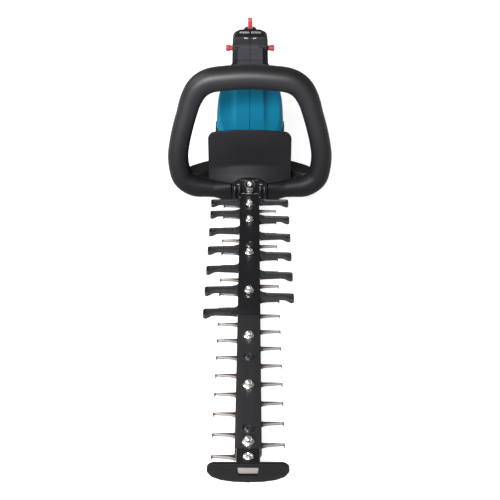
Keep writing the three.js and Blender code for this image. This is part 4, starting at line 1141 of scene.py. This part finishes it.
def rear_controls():
    outline = [(188, 141), (194, 145), (232, 135), (238, 128), (236, 119), (228, 113), (212, 112), (200, 116)]
    outline += [(192, 124), (187, 133)]
    trigger = softened(prism(eased(outline, 3, 4), (-7.6, 7.6), "X"), 0.5, 8)
    trigger = fused(trigger, lathe([(2.2, -11), (2.2, 11)], (0, 190, 140), "X"))
    piece("trigger_blade", trigger, "trigger_body", ["trigger"], "black_plastic", sharp=40)

    outline = [(206, 158), (205, 170), (205.5, 181.5), (208, 186), (214, 184.5), (221, 174), (223, 168)]
    outline += [(222, 158), (214, 155.5)]
    fin = softened(prism(eased(outline, 1.6, 3), (-3.35, 3.35), "X"), 0.35, 5)
    fin = fused(fin, lathe([(2, -7), (2, 7)], (0, 209, 159), "X"))
    piece("lock_off_fin", fin, "lock_off_body", ["lock_off_lever"], "red_plastic", sharp=40)

    right = [(6.4, 0), (6.4, 11.5), (5.8, 12), (4.5, 12.2), (4.5, 26), (3.9, 27), (3.9, 30.5), (4.6, 31.5)]
    right += [(4.8, 34), (4.4, 36), (3, 36.9), (0.6, 37)]
    profile = [(r, -x) for r, x in reversed(right)] + right[1:]
    button = lathe(profile, (0, 182, 148), "X", 40)
    piece("lock_button_rod", button, "lock_button_body", ["lock_button"], "red_plastic", sharp=40)


def battery():
    outline = [(183, 0), (293, 0), (296, 4), (296, 39), (290, 47), (183, 47), (180, 43), (180, 4)]
    case = softened(prism(eased(outline, 2.5, 4), (-37.5, 37.5), "X"), 0.9, 8)
    grooves = [block((-13, 13), (284, 300), (26, 50))]
    for side in (-1, 1):
        parting = eased([(188, 17), (290, 17), (290, 18.2), (188, 18.2)], 0.4, 2)
        grooves.append(prism(parting, sorted((side * 36.7, side * 40)), "X"))
        for y in (262, 268, 274, 280):
            groove = eased([(y, 23), (y + 2.4, 23), (y + 2.4, 38), (y, 38)], 1, 3)
            grooves.append(prism(groove, sorted((side * 36.4, side * 40)), "X"))
    case = cut(case, *grooves)
    piece("battery_shell", case, "battery", ["battery_case"], "black_plastic", sharp=40)
    rails = block((-19.5, 19.5), (187, 283.5), (47.3, 55))
    rails = bevelled(fused(rails, block((-24.6, 24.6), (190, 283.5), (53.4, 57))), 0.6, 2)
    piece("battery_rail_pair", rails, "battery", ["battery_rails"], "black_plastic")
    latch = bevelled(block((-12, 12), (284.5, 296.5), (31, 52)), 1.2, 3)
    ribs = [block((-9, 9), (295.8, 299), (35 + 3 * k, 36.2 + 3 * k)) for k in range(4)]
    latch = cut(latch, *ribs)
    piece("battery_latch_key", latch, "battery_latch_body", ["battery_latch"], "red_plastic")


front_handle()
hand_guard()
blades()
comb()
blade_fasteners()
tip_guard()
gear_case()
housing()
rear_handle()
rear_controls()
battery()

# The inner pieces keep the frame's own meshes, with a finish of their own.
INNER = {
    "upper_yoke": LAMINATED,
    "lower_yoke": LAMINATED,
    "crank_bush": BRONZE,
    "crank_bearing": ZINC,
    "crankshaft": ZINC,
    "crank_gear": ZINC,
    "motor_shaft": ZINC,
    "motor_bearing_lower": ZINC,
    "motor_bearing_upper": ZINC,
    "motor_stator": LAMINATED,
    "stator_winding": COPPER,
    "rotor_core": LAMINATED,
    "cooling_fan": BLACK,
    "motor_controller": BOARD,
    "trigger_switch": BOARD,
    "terminal_block": BLACK,
}
for name, material in INNER.items():
    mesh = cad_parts[name].data
    mesh.materials.clear()
    mesh.materials.append(material)

# ---------------------------------------------------------------- floor, light and camera
FLOOR_HALF, FLOOR_Z = 9, -0.0006
FLOOR_GLOW = 0.86
floor_mesh = bpy.data.meshes.new("floor")
corners = [(FLOOR_HALF * x, FLOOR_HALF * y, FLOOR_Z) for x, y in ((-1, -1), (1, -1), (1, 1), (-1, 1))]
floor_mesh.from_pydata(corners, [], [(0, 1, 2, 3)])
floor = bpy.data.objects.new("floor", floor_mesh)
scene.collection.objects.link(floor)
PALE = finish("pale_floor", (0.45, 0.45, 0.45), 0.9, specular=0.1, grain=2, depth=0.01, spread=0.01)
PALE.node_tree.nodes["Principled BSDF"].inputs["Emission Color"].default_value = (1, 1, 1, 1)
PALE.node_tree.nodes["Principled BSDF"].inputs["Emission Strength"].default_value = FLOOR_GLOW
floor_mesh.materials.append(PALE)

# A round wall at the floor's edge, seen by the camera alone, so that it adds no light.
WALL_RADIUS, WALL_HEIGHT, WALL_STEPS = 8.8, 9, 64
wall_mesh = bpy.data.meshes.new("backdrop")
turns = [math.tau * k / WALL_STEPS for k in range(WALL_STEPS)]
round_wall = [(WALL_RADIUS * math.cos(a), WALL_RADIUS * math.sin(a)) for a in turns]
corners = [(*p, z) for z in (FLOOR_Z, WALL_HEIGHT) for p in round_wall]
panels = []
for k in range(WALL_STEPS):
    after = (k + 1) % WALL_STEPS
    panels.append((k, after, WALL_STEPS + after, WALL_STEPS + k))
wall_mesh.from_pydata(corners, [], panels)
wall = bpy.data.objects.new("backdrop", wall_mesh)
scene.collection.objects.link(wall)
wall_mesh.materials.append(PALE)
wall.visible_diffuse = False
wall.visible_glossy = False
wall.visible_transmission = False
wall.visible_shadow = False

world = bpy.data.worlds.new("studio")
scene.world = world
world.use_nodes = True
world.node_tree.nodes["Background"].inputs["Color"].default_value = (1, 1, 1, 1)
world.node_tree.nodes["Background"].inputs["Strength"].default_value = 0.3


def softbox(name, place, aim, wide, high, power, glossy_only=False):
    light = bpy.data.lights.new(name, "AREA")
    light.shape = "RECTANGLE"
    light.size, light.size_y, light.energy = wide, high, power
    made = bpy.data.objects.new(name, light)
    made.location = place
    made.visible_diffuse = not glossy_only
    made.rotation_euler = (Vector(aim) - Vector(place)).to_track_quat("-Z", "Y").to_euler()
    scene.collection.objects.link(made)


# Name, place, what it faces, width and height in metres, and power in watts.
softbox("key", (-0.75, -1.88, 1.36), (0, -0.1, 0.12), 1.2, 0.7, 88)
softbox("shine", (-0.6, -1.9, 1.36), (0, -0.1, 0.12), 1.3, 0.7, 130, glossy_only=True)
softbox("side", (-1.5, 0.1, 1.5), (0, 0.05, 0.1), 1.3, 1.2, 34)

CAMERA_DIP = 32.9  # degrees below level
CAMERA_TURN = 0.165
camera_data = bpy.data.cameras.new("camera")
camera_data.sensor_width = 36
camera_data.lens = 68.47
camera = bpy.data.objects.new("camera", camera_data)
camera.location = (0.0037, -1.1997, 0.6757)
camera.rotation_euler = Euler((math.radians(90 - CAMERA_DIP), 0, math.radians(CAMERA_TURN)))
scene.collection.objects.link(camera)
scene.camera = camera
scene.view_settings.view_transform = "Standard"
